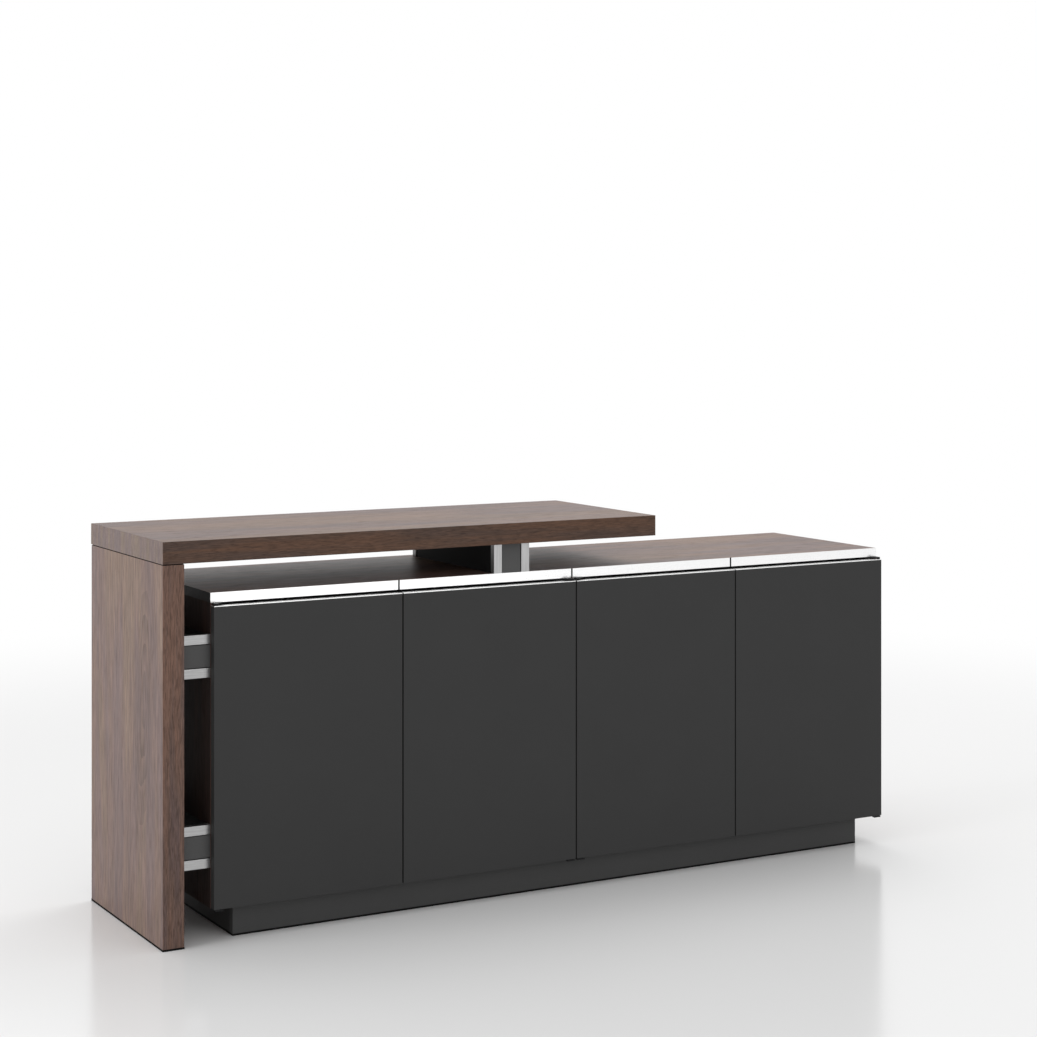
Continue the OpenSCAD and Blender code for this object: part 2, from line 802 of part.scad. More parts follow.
module plinth_foot_strips() {
  color([0.10, 0.10, 0.10]) placed() union() {
    for (y = [plinth_front_y, plinth_back_y - plinth_board]) {
      foot_strip(plinth_left, y, plinth_right - plinth_left, plinth_board);
    }
    for (x = plinth_end_x) foot_strip(x, plinth_front_y + plinth_board, plinth_board, plinth_run);
    for (p = plinth_nails) translate([p[0], p[1], 0]) nail();
  }
}

// Pivot brackets on the carcass

// Sets up door i: the pivot axis is the origin, +x runs along the door away from its hinge.
module at_pivot(i, z) {
  side = hinge_sides[i];
  left_x = cabinet_left + i * door_pitch;
  axis_x = side == 0 ? left_x + pivot_from_edge : left_x + door_width - pivot_from_edge;
  translate([axis_x, pivot_y, z]) mirror([side, 0, 0]) children();
}

// Both screws miss the carcass sides and reach the bottom and top boards.
bracket_screw_x = [board_thickness - pivot_from_edge + bracket_screw_margin,
    bracket_length + bracket_left - bracket_end_margin];

// Screws of the brackets, or the holes for them. Level 0 is the bottom, 1 the top.
module bracket_fixings(holes, level) {
  middle = level == 0 ? (bottom_strip_y0 + bottom_strip_y1) / 2 : (top_strip_y0 + top_strip_y1) / 2;
  z = level == 0 ? plinth_height - bracket_thickness : side_top_z - bracket_thickness;
  for (i = [0 : 3], x = bracket_screw_x) {
    at_pivot(i, z) translate([x, middle, 0]) mirror([0, 0, 1]) {
      if (holes) csk_hole(screw_shank, screw_head, board_screw_length);
      else csk_screw(screw_shank, screw_head, board_screw_length);
    }
  }
}

// Lower bracket: a boss for the pin, and a sector with the curved slot of the opening stop.
module bottom_bracket() {
  difference() {
    linear_extrude(height = bracket_thickness) union() {
      circle(r = boss_radius, $fn = fine);
      intersection() {
        circle(r = sector_radius, $fn = fine);
        translate([bracket_left + 1, -boss_radius]) square(2 * sector_radius);
      }
      translate([bracket_left + 1, stop_radius]) {
        square([sector_radius - bracket_left - 1, bottom_strip_y0 - stop_radius + 1]);
      }
      translate([bracket_left + 1, bottom_strip_y0]) {
        square([bracket_length, bottom_strip_y1 - bottom_strip_y0]);
      }
    }
    translate([0, 0, -1]) {
      cylinder(r = pin_radius + fit_gap, h = bracket_thickness + 2, $fn = fine);
      intersection() {
        difference() {
          cylinder(r = stop_radius + slot_half, h = bracket_thickness + 2, $fn = fine);
          translate([0, 0, -1]) cylinder(r = stop_radius - slot_half, h = bracket_thickness + 4, $fn = fine);
        }
        rotate([0, 0, stop_angle_closed - opening_angle]) linear_extrude(height = bracket_thickness + 2) {
          polygon([[0, 0], [wedge_reach, 0],
              [cos(opening_angle / 2), sin(opening_angle / 2)] * wedge_reach * 1.5,
              [cos(opening_angle), sin(opening_angle)] * wedge_reach]);
        }
      }
      for (a = [stop_angle_closed, stop_angle_closed - opening_angle]) {
        rotate([0, 0, a]) translate([stop_radius, 0, 0]) {
          cylinder(r = slot_half, h = bracket_thickness + 2, $fn = fine);
        }
      }
    }
  }
}

// Upper bracket: an arm that passes in front of the carcass side and is fixed under the top board.
module top_bracket() {
  far_x = bracket_length + bracket_left;
  difference() {
    linear_extrude(height = bracket_thickness) union() {
      circle(r = boss_radius, $fn = fine);
      polygon([[-boss_radius, 0], [boss_radius, 0], [arm_x + arm_width, top_strip_y0],
          [far_x, top_strip_y0], [far_x, top_strip_y1], [arm_x, top_strip_y1], [arm_x, arm_y],
          [-boss_radius, arm_y]]);
    }
    translate([0, 0, -1]) cylinder(r = pin_radius + fit_gap, h = bracket_thickness + 2, $fn = fine);
  }
}

module bottom_brackets() {
  color([0.16, 0.16, 0.17]) placed() difference() {
    for (i = [0 : 3]) at_pivot(i, plinth_height - bracket_thickness) bottom_bracket();
    bracket_fixings(true, 0);
  }
}

module top_brackets() {
  color([0.16, 0.16, 0.17]) placed() difference() {
    for (i = [0 : 3]) at_pivot(i, side_top_z - bracket_thickness) top_bracket();
    bracket_fixings(true, 1);
  }
}

// Pins: the upper one hangs from its bracket, the lower one stands on its bracket.
top_pin_length = door_top_gap + top_sleeve_length - 0.5;
bottom_pin_length = bracket_thickness + door_bottom_gap + bottom_sleeve_length - 0.5;

module pivot_pins() {
  color([0.72, 0.72, 0.74]) placed() {
    for (i = [0 : 3]) {
      at_pivot(i, plinth_height - bracket_thickness) {
        cylinder(r = pin_radius, h = bottom_pin_length, $fn = fine);
      }
      at_pivot(i, side_top_z - top_pin_length) {
        cylinder(r = pin_radius, h = top_pin_length, $fn = fine);
      }
    }
  }
}

module bracket_screws() {
  color([0.60, 0.60, 0.62]) placed() {
    bracket_fixings(false, 0);
    bracket_fixings(false, 1);
  }
}

// Catches

catch_centres = [cabinet_left + door_pitch - door_gap / 2, cabinet_left + 3 * door_pitch - door_gap / 2];

// Pegs of the magnet catches in the bottom board, or the holes for them.
module catch_pegs(holes) {
  extra = holes ? fit_gap : 0;
  for (x = catch_centres, dx = [-catch_peg_spread, catch_peg_spread]) {
    translate([x + dx, cabinet_front + catch_depth / 2,
        floor_board_top - catch_peg_length - (holes ? 0.5 : 0)]) {
      cylinder(r = catch_peg_radius + extra, h = catch_peg_length + (holes ? 1 : 0.5), $fn = small);
    }
  }
}

module catch_magnets() {
  color([0.20, 0.20, 0.21]) placed() union() {
    for (x = catch_centres) {
      slab([x - catch_width / 2, cabinet_front, floor_board_top], [catch_width, catch_depth, catch_height]);
    }
    catch_pegs(false);
  }
}

// Doors

// Door i in place; +x runs from the hinge edge to the free edge, +y from front to back.
module at_door(i) {
  side = hinge_sides[i];
  left_x = cabinet_left + i * door_pitch;
  translate([side == 0 ? left_x : left_x + door_width, door_front, 0]) mirror([side, 0, 0]) children();
}

plate_screw_x = [22, 38];
strike_x = door_width - strike_inset;
strike_z = floor_board_top + catch_height / 2 - strike_height / 2;
tongue_start = 60;
tongue_depth = 7;
tongue_width = 3;

// Steel plate outline for a door edge.
module plate_outline(extra) {
  translate([plate_edge - extra, plate_edge - extra]) {
    square([plate_length + 2 * extra, door_thickness - 2 * plate_edge + 2 * extra]);
  }
}

// Screws that hold the two plates and the strike, or the holes for them.
module door_fixings(holes) {
  for (x = plate_screw_x) {
    translate([x, door_thickness / 2, panel_top_z]) {
      if (holes) csk_hole(screw_shank, screw_head, door_screw_length);
      else csk_screw(screw_shank, screw_head, door_screw_length);
    }
    translate([x, door_thickness / 2, door_bottom_z]) mirror([0, 0, 1]) {
      if (holes) csk_hole(screw_shank, screw_head, door_screw_length);
      else csk_screw(screw_shank, screw_head, door_screw_length);
    }
  }
  translate([strike_x, door_thickness + strike_thickness, strike_z + strike_height / 2]) rotate([-90, 0, 0]) {
    if (holes) csk_hole(strike_screw, strike_head, strike_screw_length);
    else csk_screw(strike_screw, strike_head, strike_screw_length);
  }
}

module door_panel(i) {
  color([0.23, 0.23, 0.235]) placed() at_door(i) difference() {
    translate([0, 0, door_bottom_z]) linear_extrude(height = panel_top_z - door_bottom_z) {
      rounded_rect(door_width, door_thickness, door_edge_radius);
    }
    translate([0, 0, door_bottom_z - 1]) linear_extrude(height = plate_thickness + 1) {
      plate_outline(pocket_gap);
    }
    translate([0, 0, panel_top_z - plate_thickness]) linear_extrude(height = plate_thickness + 1) {
      plate_outline(pocket_gap);
    }
    translate([pivot_from_edge, pivot_from_front, door_bottom_z - 1]) {
      cylinder(r = bush_outer + fit_gap, h = bottom_sleeve_length + 2, $fn = fine);
    }
    translate([pivot_from_edge, pivot_from_front, door_top_z - top_sleeve_length - 1]) {
      cylinder(r = bush_outer + fit_gap, h = top_sleeve_length + 2, $fn = fine);
    }
    slab([tongue_start - 0.5, (door_thickness - tongue_width) / 2 - fit_gap,
            panel_top_z - tongue_depth - 0.5],
        [door_width - 2 * tongue_start + 1, tongue_width + 2 * fit_gap, tongue_depth + 1.5]);
    door_fixings(true);
  }
}

module door_cap(i) {
  color([0.86, 0.86, 0.87]) placed() at_door(i) difference() {
    union() {
      translate([0, 0, panel_top_z]) linear_extrude(height = cap_thickness) {
        rounded_rect(door_width, door_thickness, door_edge_radius);
      }
      slab([tongue_start, door_thickness / 2 - tongue_width / 2, panel_top_z - tongue_depth],
          [door_width - 2 * tongue_start, tongue_width, tongue_depth + 0.5]);
    }
    translate([pivot_from_edge, pivot_from_front, panel_top_z - 1]) {
      cylinder(r = bush_outer + fit_gap, h = cap_thickness + 2, $fn = fine);
    }
  }
}

// Steel plates in the top and bottom edges, and the strike for the magnet on the back.
// The bottom plate carries the stud of the opening stop.
module door_plates(i) {
  stud_x = pivot_from_edge + stop_radius * cos(stop_angle_closed);
  stud_y = pivot_from_front + stop_radius * sin(stop_angle_closed);
  stud_bottom = plinth_height - bracket_thickness + stud_recess;
  color([0.66, 0.66, 0.68]) placed() at_door(i) difference() {
    union() {
      translate([0, 0, door_bottom_z]) linear_extrude(height = plate_thickness) plate_outline(0);
      translate([0, 0, panel_top_z - plate_thickness]) {
        linear_extrude(height = plate_thickness) plate_outline(0);
      }
      translate([stud_x, stud_y, stud_bottom]) {
        cylinder(d = stop_diameter, h = door_bottom_z - stud_bottom + 0.5, $fn = fine);
      }
      slab([strike_x - strike_width / 2, door_thickness, strike_z],
          [strike_width, strike_thickness, strike_height]);
    }
    translate([pivot_from_edge, pivot_from_front, door_bottom_z - 1]) {
      cylinder(r = bush_outer + fit_gap, h = plate_thickness + 2, $fn = fine);
    }
    translate([pivot_from_edge, pivot_from_front, panel_top_z - plate_thickness - 1]) {
      cylinder(r = bush_outer + fit_gap, h = plate_thickness + 2, $fn = fine);
    }
    door_fixings(true);
  }
}

// Flanged nylon bush, flange up, the flange's seat at z = 0.
module bush(sleeve_length, flange_height) {
  difference() {
    union() {
      translate([0, 0, -sleeve_length]) cylinder(r = bush_outer, h = sleeve_length, $fn = fine);
      cylinder(r = flange_radius, h = flange_height, $fn = fine);
    }
    translate([0, 0, -sleeve_length - 1]) {
      cylinder(r = bush_inner, h = sleeve_length + flange_height + 2, $fn = fine);
    }
  }
}

module door_bushes(i) {
  top_flange = door_top_gap - bracket_thickness - flange_gap;
  bottom_flange = door_bottom_gap - flange_gap;
  color([0.90, 0.90, 0.88]) placed() at_door(i) {
    translate([pivot_from_edge, pivot_from_front, door_top_z]) bush(top_sleeve_length, top_flange);
    translate([pivot_from_edge, pivot_from_front, door_bottom_z]) mirror([0, 0, 1]) {
      bush(bottom_sleeve_length, bottom_flange);
    }
  }
}

module door_screws(i) {
  color([0.60, 0.60, 0.62]) placed() at_door(i) door_fixings(false);
}

// Two soft bumpers on the back of the free edge.
module door_bumpers(i) {
  color([0.30, 0.30, 0.31]) placed() at_door(i) {
    for (z = [plinth_height + board_thickness / 2, rail_middle_z]) {
      translate([door_width - bumper_inset, door_thickness, z]) rotate([-90, 0, 0]) {
        cylinder(d = bumper_diameter, h = bumper_thickness, $fn = small);
      }
    }
  }
}

module door_1_panel() { door_panel(0); }
module door_1_cap() { door_cap(0); }
module door_1_plates() { door_plates(0); }
module door_1_bushes() { door_bushes(0); }
module door_1_screws() { door_screws(0); }
module door_1_bumpers() { door_bumpers(0); }
module door_2_panel() { door_panel(1); }
module door_2_cap() { door_cap(1); }
module door_2_plates() { door_plates(1); }
module door_2_bushes() { door_bushes(1); }
module door_2_screws() { door_screws(1); }
module door_2_bumpers() { door_bumpers(1); }
module door_3_panel() { door_panel(2); }
module door_3_cap() { door_cap(2); }
module door_3_plates() { door_plates(2); }
module door_3_bushes() { door_bushes(2); }
module door_3_screws() { door_screws(2); }
module door_3_bumpers() { door_bumpers(2); }
module door_4_panel() { door_panel(3); }
module door_4_cap() { door_cap(3); }
module door_4_plates() { door_plates(3); }
module door_4_bushes() { door_bushes(3); }
module door_4_screws() { door_screws(3); }
module door_4_bumpers() { door_bumpers(3); }

bridge_top();
bridge_top_edging();
gable_panel();
gable_edging();
gable_foot_strip();
gable_dowels();
post_sleeve();
post_profiles();
side_connector_sleeves();
side_connector_profiles();
connector_screws();
cabinet_top();
left_side();
right_side();
centre_partition();
cabinet_bottom();
cabinet_backs();
carcass_dowels();
edge_strips();
front_rails();
recess_boards();
rail_screws();
plinth_front();
plinth_back();
plinth_ends();
plinth_foot_strips();
shelf_left();
shelf_right();
shelf_pegs();
bottom_brackets();
top_brackets();
pivot_pins();
bracket_screws();
catch_magnets();
door_1_panel();
door_1_cap();
door_1_plates();
door_1_bushes();
door_1_screws();
door_1_bumpers();
door_2_panel();
door_2_cap();
door_2_plates();
door_2_bushes();
door_2_screws();
door_2_bumpers();
door_3_panel();
door_3_cap();
door_3_plates();
door_3_bushes();
door_3_screws();
door_3_bumpers();
door_4_panel();
door_4_cap();
door_4_plates();
door_4_bushes();
door_4_screws();
door_4_bumpers();
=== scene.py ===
"""Looks of a long filing cabinet with a walnut bridge over its left end.

Lengths are in metres unless a name ends in _mm. +X is right, +Y back, +Z up, and the floor is z = 0.
"""

from __future__ import annotations

import functools
import logging
import math
from collections.abc import Mapping, Sequence
from dataclasses import dataclass
from enum import Enum
from typing import Any

import bmesh
import bpy
from mathutils import Euler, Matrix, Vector


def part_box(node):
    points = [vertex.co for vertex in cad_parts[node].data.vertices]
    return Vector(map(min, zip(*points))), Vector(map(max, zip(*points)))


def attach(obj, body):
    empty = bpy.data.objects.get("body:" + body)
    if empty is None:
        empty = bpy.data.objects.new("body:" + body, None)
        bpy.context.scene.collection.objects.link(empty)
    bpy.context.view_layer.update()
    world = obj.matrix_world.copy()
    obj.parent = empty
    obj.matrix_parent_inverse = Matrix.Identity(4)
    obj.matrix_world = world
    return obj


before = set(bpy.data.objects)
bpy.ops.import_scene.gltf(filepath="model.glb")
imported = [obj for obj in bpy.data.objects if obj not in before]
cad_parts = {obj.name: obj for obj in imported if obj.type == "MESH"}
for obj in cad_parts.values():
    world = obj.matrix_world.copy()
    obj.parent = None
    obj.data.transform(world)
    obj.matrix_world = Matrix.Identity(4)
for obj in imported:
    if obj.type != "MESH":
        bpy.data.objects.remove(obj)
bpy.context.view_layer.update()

LOG = logging.getLogger("filing_cabinet")
MM = 0.001
DOOR_COUNT = 4
# The refractive index of melamine resin, and near enough that of other plastics and paints.
RESIN_IOR = 1.5
# Blender's noise seldom leaves these limits.
NOISE_LOW = 0.3
NOISE_HIGH = 0.7
# A wave texture of scale 1 has 10 / pi rings to the metre.
RING_SCALE = math.pi / 10.0
# The cosine of 60 degrees: a face that lies nearer than that to a direction looks that way.
LOOKS_THAT_WAY = 0.5
Colour = tuple[float, float, float, float]
Place = tuple[float, float, float]
WHITE: Colour = (1.0, 1.0, 1.0, 1.0)


class Grain(Enum):
    """The world axis along which a grain runs, with the turn in degrees that brings it to local X."""

    ALONG_X = (0.0, 0.0, 0.0)
    ALONG_Z = (0.0, 90.0, 0.0)

    def turn(self) -> Place:
        """Returns the turn in radians."""
        return tuple(math.radians(angle) for angle in self.value)


class Facing(Enum):
    """Which faces of a board get its end tones, a second print on some boards and painted shade on others:
    the world direction that they look in.
    """

    LEFT = (-1.0, 0.0, 0.0)
    LEFT_AND_FRONT = (-0.71, -0.71, 0.0)


def linear(hex_code: str) -> Colour:
    """Turns an sRGB hex colour into the linear colour that shaders take.

    Args:
        hex_code: Six hex digits, with or without a leading hash sign.

    Returns:
        Red, green, blue and an alpha of 1.
    """
    digits = hex_code.lstrip("#")
    channels = [int(digits[i : i + 2], 16) / 255 for i in (0, 2, 4)]
    red, green, blue = (c / 12.92 if c <= 0.04045 else ((c + 0.055) / 1.055) ** 2.4 for c in channels)
    return (red, green, blue, 1.0)


def add_node(
    tree: bpy.types.NodeTree,
    kind: str,
    inputs: Mapping[str | int, Any] | None = None,
    stops: Sequence[tuple[float, Colour]] = (),
    **settings: Any,
) -> bpy.types.Node:
    """Adds a shader node with its settings, its input values and its links.

    Args:
        tree: The node tree that the node goes into.
        kind: Blender's name for the kind of node.
        inputs: A value or an output socket for each input, by the input's name or number.
        stops: The places and colours of a colour ramp.
        **settings: Properties of the node itself.

    Returns:
        The new node.
    """
    node = tree.nodes.new(kind)
    for name, value in settings.items():
        setattr(node, name, value)
    for key, value in (inputs or {}).items():
        if isinstance(value, bpy.types.NodeSocket):
            tree.links.new(value, node.inputs[key])
        else:
            node.inputs[key].default_value = value
    if stops:
        elements = node.color_ramp.elements
        while len(elements) < len(stops):
            elements.new(1.0)
        for element, (place, colour) in zip(elements, stops):
            element.position = place
            element.color = colour
    return node


def new_material(name: str) -> tuple[bpy.types.Material, bpy.types.NodeTree]:
    """Makes an empty material.

    Args:
        name: The material's name.

    Returns:
        The material and its node tree.
    """
    material = bpy.data.materials.new(name)
    material.use_nodes = True
    material.node_tree.nodes.clear()
    return material, material.node_tree


@dataclass(frozen=True)
class Marks:
    """Marks drawn out along the grain, such as bands of heartwood, fibres or pores.

    A noise between low and high fades in from no mark to a full one, and ragged is how broken the
    edges of the marks are. The shift keeps two layers of marks from falling on each other.
    """

    length_mm: float
    width_mm: float
    low: float
    high: float
    detail: float = 2.0
    shift: float = 0.0
    ragged: float = 0.55

    def layer(self, tree: bpy.types.NodeTree, along: bpy.types.NodeSocket) -> bpy.types.NodeSocket:
        """Adds the nodes of this layer.

        Args:
            tree: The material's node tree.
            along: Coordinates in metres whose X runs along the grain.

        Returns:
            The output socket, 0 beside the marks and 1 in them.
        """
        across = 1.0 / (self.width_mm * MM)
        stretched = add_node(
            tree, "ShaderNodeMapping",
            {"Vector": along, "Location": (self.shift, self.shift, self.shift),
             "Scale": (1.0 / (self.length_mm * MM), across, across)},
        ).outputs["Vector"]
        noise = add_node(
            tree, "ShaderNodeTexNoise",
            {"Vector": stretched, "Scale": 1.0, "Detail": self.detail, "Roughness": self.ragged},
        ).outputs["Fac"]
        return add_node(
            tree, "ShaderNodeMapRange", {"Value": noise, "From Min": self.low, "From Max": self.high},
            interpolation_type="SMOOTHSTEP",
        ).outputs["Result"]


@dataclass(frozen=True)
class Arches:
    """Growth rings cut lengthwise, which close into long arches where a plank is flat-sawn.

    The rings run round an axis that cuts the board's face at a shallow angle in the heart, turned
    sideways by a share of that angle. They are strong up to a share, near, of their reach and gone
    beyond the reach, because a printed decor mixes flat-sawn and straight-grained planks. The sway
    bends them: sway_mm is how far, and the two after it are how long and how wide a bend is.
    """

    heart: Place
    ring_mm: float = 14.0
    reach_mm: float = 80.0
    near: float = 0.4
    tilt_deg: float = 6.0
    side_tilt: float = 0.3
    sway_mm: float = 20.0
    sway_length_mm: float = 1000.0 / 6.0
    sway_width_mm: float = 62.5

    def layer(
        self, tree: bpy.types.NodeTree, along: bpy.types.NodeSocket, heart: Vector
    ) -> bpy.types.NodeSocket:
        """Adds the nodes of the rings.

        Args:
            tree: The material's node tree.
            along: Coordinates in metres whose X runs along the grain.
            heart: The heart in those coordinates.

        Returns:
            The output socket, 1 in the dark late wood near the heart and 0 elsewhere.
        """
        tilted = self._round_the_heart(tree, along, heart)
        rings = add_node(
            tree, "ShaderNodeTexWave",
            {"Vector": tilted, "Scale": RING_SCALE / (self.ring_mm * MM), "Distortion": 1.0,
             "Detail": 2.0, "Detail Scale": 1.5},
            wave_type="RINGS", rings_direction="X", wave_profile="SAW",
        ).outputs["Fac"]
        across = add_node(
            tree, "ShaderNodeVectorMath", {0: tilted, 1: (0.0, 1.0, 1.0)}, operation="MULTIPLY",
        ).outputs["Vector"]
        aside = add_node(
            tree, "ShaderNodeVectorMath", {0: across}, operation="LENGTH",
        ).outputs["Value"]
        share = add_node(
            tree, "ShaderNodeMapRange",
            {"Value": aside, "From Min": self.near * self.reach_mm * MM, "From Max": self.reach_mm * MM,
             "To Min": 1.0, "To Max": 0.0},
            interpolation_type="SMOOTHSTEP",
        ).outputs["Result"]
        return add_node(
            tree, "ShaderNodeMath", {0: rings, 1: share}, operation="MULTIPLY",
        ).outputs["Value"]

    def _round_the_heart(
        self, tree: bpy.types.NodeTree, along: bpy.types.NodeSocket, heart: Vector
    ) -> bpy.types.NodeSocket:
        """Bends, centres and tilts the coordinates so that X is the axis of the rings.

        Args:
            tree: The material's node tree.
            along: Coordinates in metres whose X runs along the grain.
            heart: The heart in those coordinates.

        Returns:
            The new coordinates, in metres.
        """
        bends_across = 1.0 / (self.sway_width_mm * MM)
        stretched = add_node(
            tree, "ShaderNodeMapping",
            {"Vector": along, "Scale": (1.0 / (self.sway_length_mm * MM), bends_across, bends_across)},
        ).outputs["Vector"]
        sway = add_node(
            tree, "ShaderNodeTexNoise", {"Vector": stretched, "Scale": 1.0, "Detail": 2.0},
        ).outputs["Color"]
        reach = self.sway_mm * MM
        offset = (-heart.x, -heart.y - reach / 2, -heart.z - reach / 2)
        centred = add_node(
            tree, "ShaderNodeVectorMath", {0: along, 1: offset}, operation="ADD",
        ).outputs["Vector"]
        swaying = add_node(
            tree, "ShaderNodeVectorMath", {0: sway, 1: (0.0, reach, reach), 2: centred},
            operation="MULTIPLY_ADD",
        ).outputs["Vector"]
        tilt = math.radians(self.tilt_deg)
        return add_node(
            tree, "ShaderNodeMapping", {"Vector": swaying, "Rotation": (0.0, tilt, self.side_tilt * tilt)},
        ).outputs["Vector"]


@dataclass(frozen=True)
class Tones:
    """The printed colours of a woodgrain: three for its broad bands, one for veins, one for pores."""

    warm: str
    middle: str
    cool: str
    vein: str
    pore: str

    def bands(self) -> list[tuple[float, Colour]]:
        """Returns the stops of the colour ramp for the bands."""
        return [(0.10, linear(self.warm)), (0.50, linear(self.middle)), (0.90, linear(self.cool))]

    def fleck(self) -> Colour:
        """Returns the middle tone, half as light again."""
        red, green, blue, alpha = linear(self.middle)
        return (1.5 * red, 1.5 * green, 1.5 * blue, alpha)


@dataclass(frozen=True)
class Woodgrain:
    """Walnut decor printed on paper and pressed under melamine, on board or as edging.

    The eye gets broad soft bands of warm and cool brown, a few narrow blue-grey streaks, patches of
    arches, short dark pores with paler flecks between them, and a satin skin that hazes over where
    it is seen at a low angle. Real pores are 0.1 to 0.3 mm wide, too fine to show here, so they are
    drawn about 2.5 mm wide. The press plate leaves them a few hundredths of a millimetre deep. The
    end faces, if there are end tones, get tones and a grain of their own: a second print on the
    bridge edging, and painted shade on the left side and on the cabinet top.
    """

    name: str
    tones: Tones
    grain: Grain
    end_tones: Tones | None = None
    end_grain: Grain = Grain.ALONG_Z
    end_facing: Facing = Facing.LEFT
    shift: Place = (0.0, 0.0, 0.0)
    bands: Marks = Marks(620.0, 80.0, 0.34, 0.66, detail=2.0)
    veins: Marks = Marks(300.0, 12.0, 0.58, 0.70, detail=1.0, shift=3.1)
    growth: Marks = Marks(420.0, 12.0, 0.34, 0.66, detail=3.0, shift=12.6)
    fibres: Marks = Marks(150.0, 3.4, 0.34, 0.66, detail=2.0, shift=5.7)
    pores: Marks = Marks(48.0, 2.6, 0.54, 0.64, detail=2.0, shift=1.9)
    flecks: Marks = Marks(44.0, 2.8, 0.55, 0.66, detail=2.0, shift=9.4)
    arches: Arches | None = None
    vein_strength: float = 0.25
    growth_contrast: float = 0.07
    fibre_contrast: float = 0.11
    pore_strength: float = 0.30
    fleck_strength: float = 0.18
    arch_strength: float = 0.30
    roughness: float = 0.42
    pore_roughness: float = 0.12
    specular: float = 0.3
    relief_mm: float = 0.1
    relief_strength: float = 0.35

    def build(self) -> bpy.types.Material:
        """Makes the material of this woodgrain.

        Returns:
            The finished material.
        """
        material, tree = new_material(self.name)
        where = add_node(tree, "ShaderNodeTexCoord")
        along = self._along(tree, where.outputs["Object"], self.grain)
        pores = self.pores.layer(tree, along)
        colour = self._printed(tree, along, pores, self.tones)
        if self.end_tones is not None:
            colour = self._with_ends(tree, where, colour)
        roughness = add_node(
            tree, "ShaderNodeMapRange",
            {"Value": pores, "To Min": self.roughness, "To Max": self.roughness + self.pore_roughness},
        ).outputs["Result"]
        relief = add_node(
            tree, "ShaderNodeBump",
            {"Height": pores, "Strength": self.relief_strength, "Distance": self.relief_mm * MM},
            invert=True,
        ).outputs["Normal"]
        shader = add_node(
            tree, "ShaderNodeBsdfPrincipled",
            {"Base Color": colour, "Roughness": roughness, "Normal": relief, "IOR": RESIN_IOR,
             "Specular IOR Level": self.specular},
        ).outputs["BSDF"]
        add_node(tree, "ShaderNodeOutputMaterial", {"Surface": shader})
        return material

    def _along(
        self, tree: bpy.types.NodeTree, place: bpy.types.NodeSocket, grain: Grain
    ) -> bpy.types.NodeSocket:
        """Turns object coordinates so that X runs along the grain.

        Args:
            tree: The material's node tree.
            place: The object coordinates.
            grain: The world axis of the grain.

        Returns:
            The turned coordinates, in metres.
        """
        return add_node(
            tree, "ShaderNodeMapping",
            {"Vector": place, "Location": self.shift, "Rotation": grain.turn()},
        ).outputs["Vector"]

    def _printed(
        self,
        tree: bpy.types.NodeTree,
        along: bpy.types.NodeSocket,
        pores: bpy.types.NodeSocket,
        tones: Tones,
    ) -> bpy.types.NodeSocket:
        """Lays the printed colours over each other, from the broad bands to the pores.

        Args:
            tree: The material's node tree.
            along: Coordinates in metres whose X runs along the grain.
            pores: The layer of pores.
            tones: The colours to print with.

        Returns:
            The colour output socket.
        """
        colour = add_node(
            tree, "ShaderNodeValToRGB", {"Fac": self.bands.layer(tree, along)}, tones.bands(),
        ).outputs["Color"]
        layers = [(self.veins.layer(tree, along), self.vein_strength, linear(tones.vein)),
                  (self.flecks.layer(tree, along), self.fleck_strength, tones.fleck()),
                  (pores, self.pore_strength, linear(tones.pore))]
        if self.arches is not None:
            turn = Euler(self.grain.turn()).to_matrix()
            heart = turn @ Vector(self.arches.heart) + Vector(self.shift)
            rings = self.arches.layer(tree, along, heart)
            layers.insert(0, (rings, self.arch_strength, linear(tones.pore)))
        for marks, strength, tint in layers:
            share = add_node(
                tree, "ShaderNodeMath", {0: marks, 1: strength}, operation="MULTIPLY",
            ).outputs["Value"]
            colour = add_node(
                tree, "ShaderNodeMix", {0: share, 6: colour, 7: tint}, data_type="RGBA",
            ).outputs[2]
        for marks, contrast in ((self.growth, self.growth_contrast), (self.fibres, self.fibre_contrast)):
            light = add_node(
                tree, "ShaderNodeMapRange",
                {"Value": marks.layer(tree, along), "To Min": 1.0 - contrast, "To Max": 1.0 + contrast},
            ).outputs["Result"]
            colour = add_node(
                tree, "ShaderNodeVectorMath", {0: colour, "Scale": light}, operation="SCALE",
            ).outputs["Vector"]
        return colour

    def _with_ends(
        self, tree: bpy.types.NodeTree, where: bpy.types.Node, colour: bpy.types.NodeSocket
    ) -> bpy.types.NodeSocket:
        """Gives the faces that look the way of the ends their own tones, which on some boards are painted
        shade.

        Args:
            tree: The material's node tree.
            where: The node that gives the object coordinates and the normal.
            colour: The colour of the other faces.

        Returns:
            The colour output socket.
        """
        along = self._along(tree, where.outputs["Object"], self.end_grain)
        on_end = self._printed(tree, along, self.pores.layer(tree, along), self.end_tones)
        facing = add_node(
            tree, "ShaderNodeVectorMath", {0: where.outputs["Normal"], 1: self.end_facing.value},
            operation="DOT_PRODUCT",
        ).outputs["Value"]
        is_end = add_node(
            tree, "ShaderNodeMath", {0: facing, 1: LOOKS_THAT_WAY}, operation="GREATER_THAN",
        ).outputs["Value"]
        return add_node(
            tree, "ShaderNodeMix", {0: is_end, 6: colour, 7: on_end}, data_type="RGBA",
        ).outputs[2]


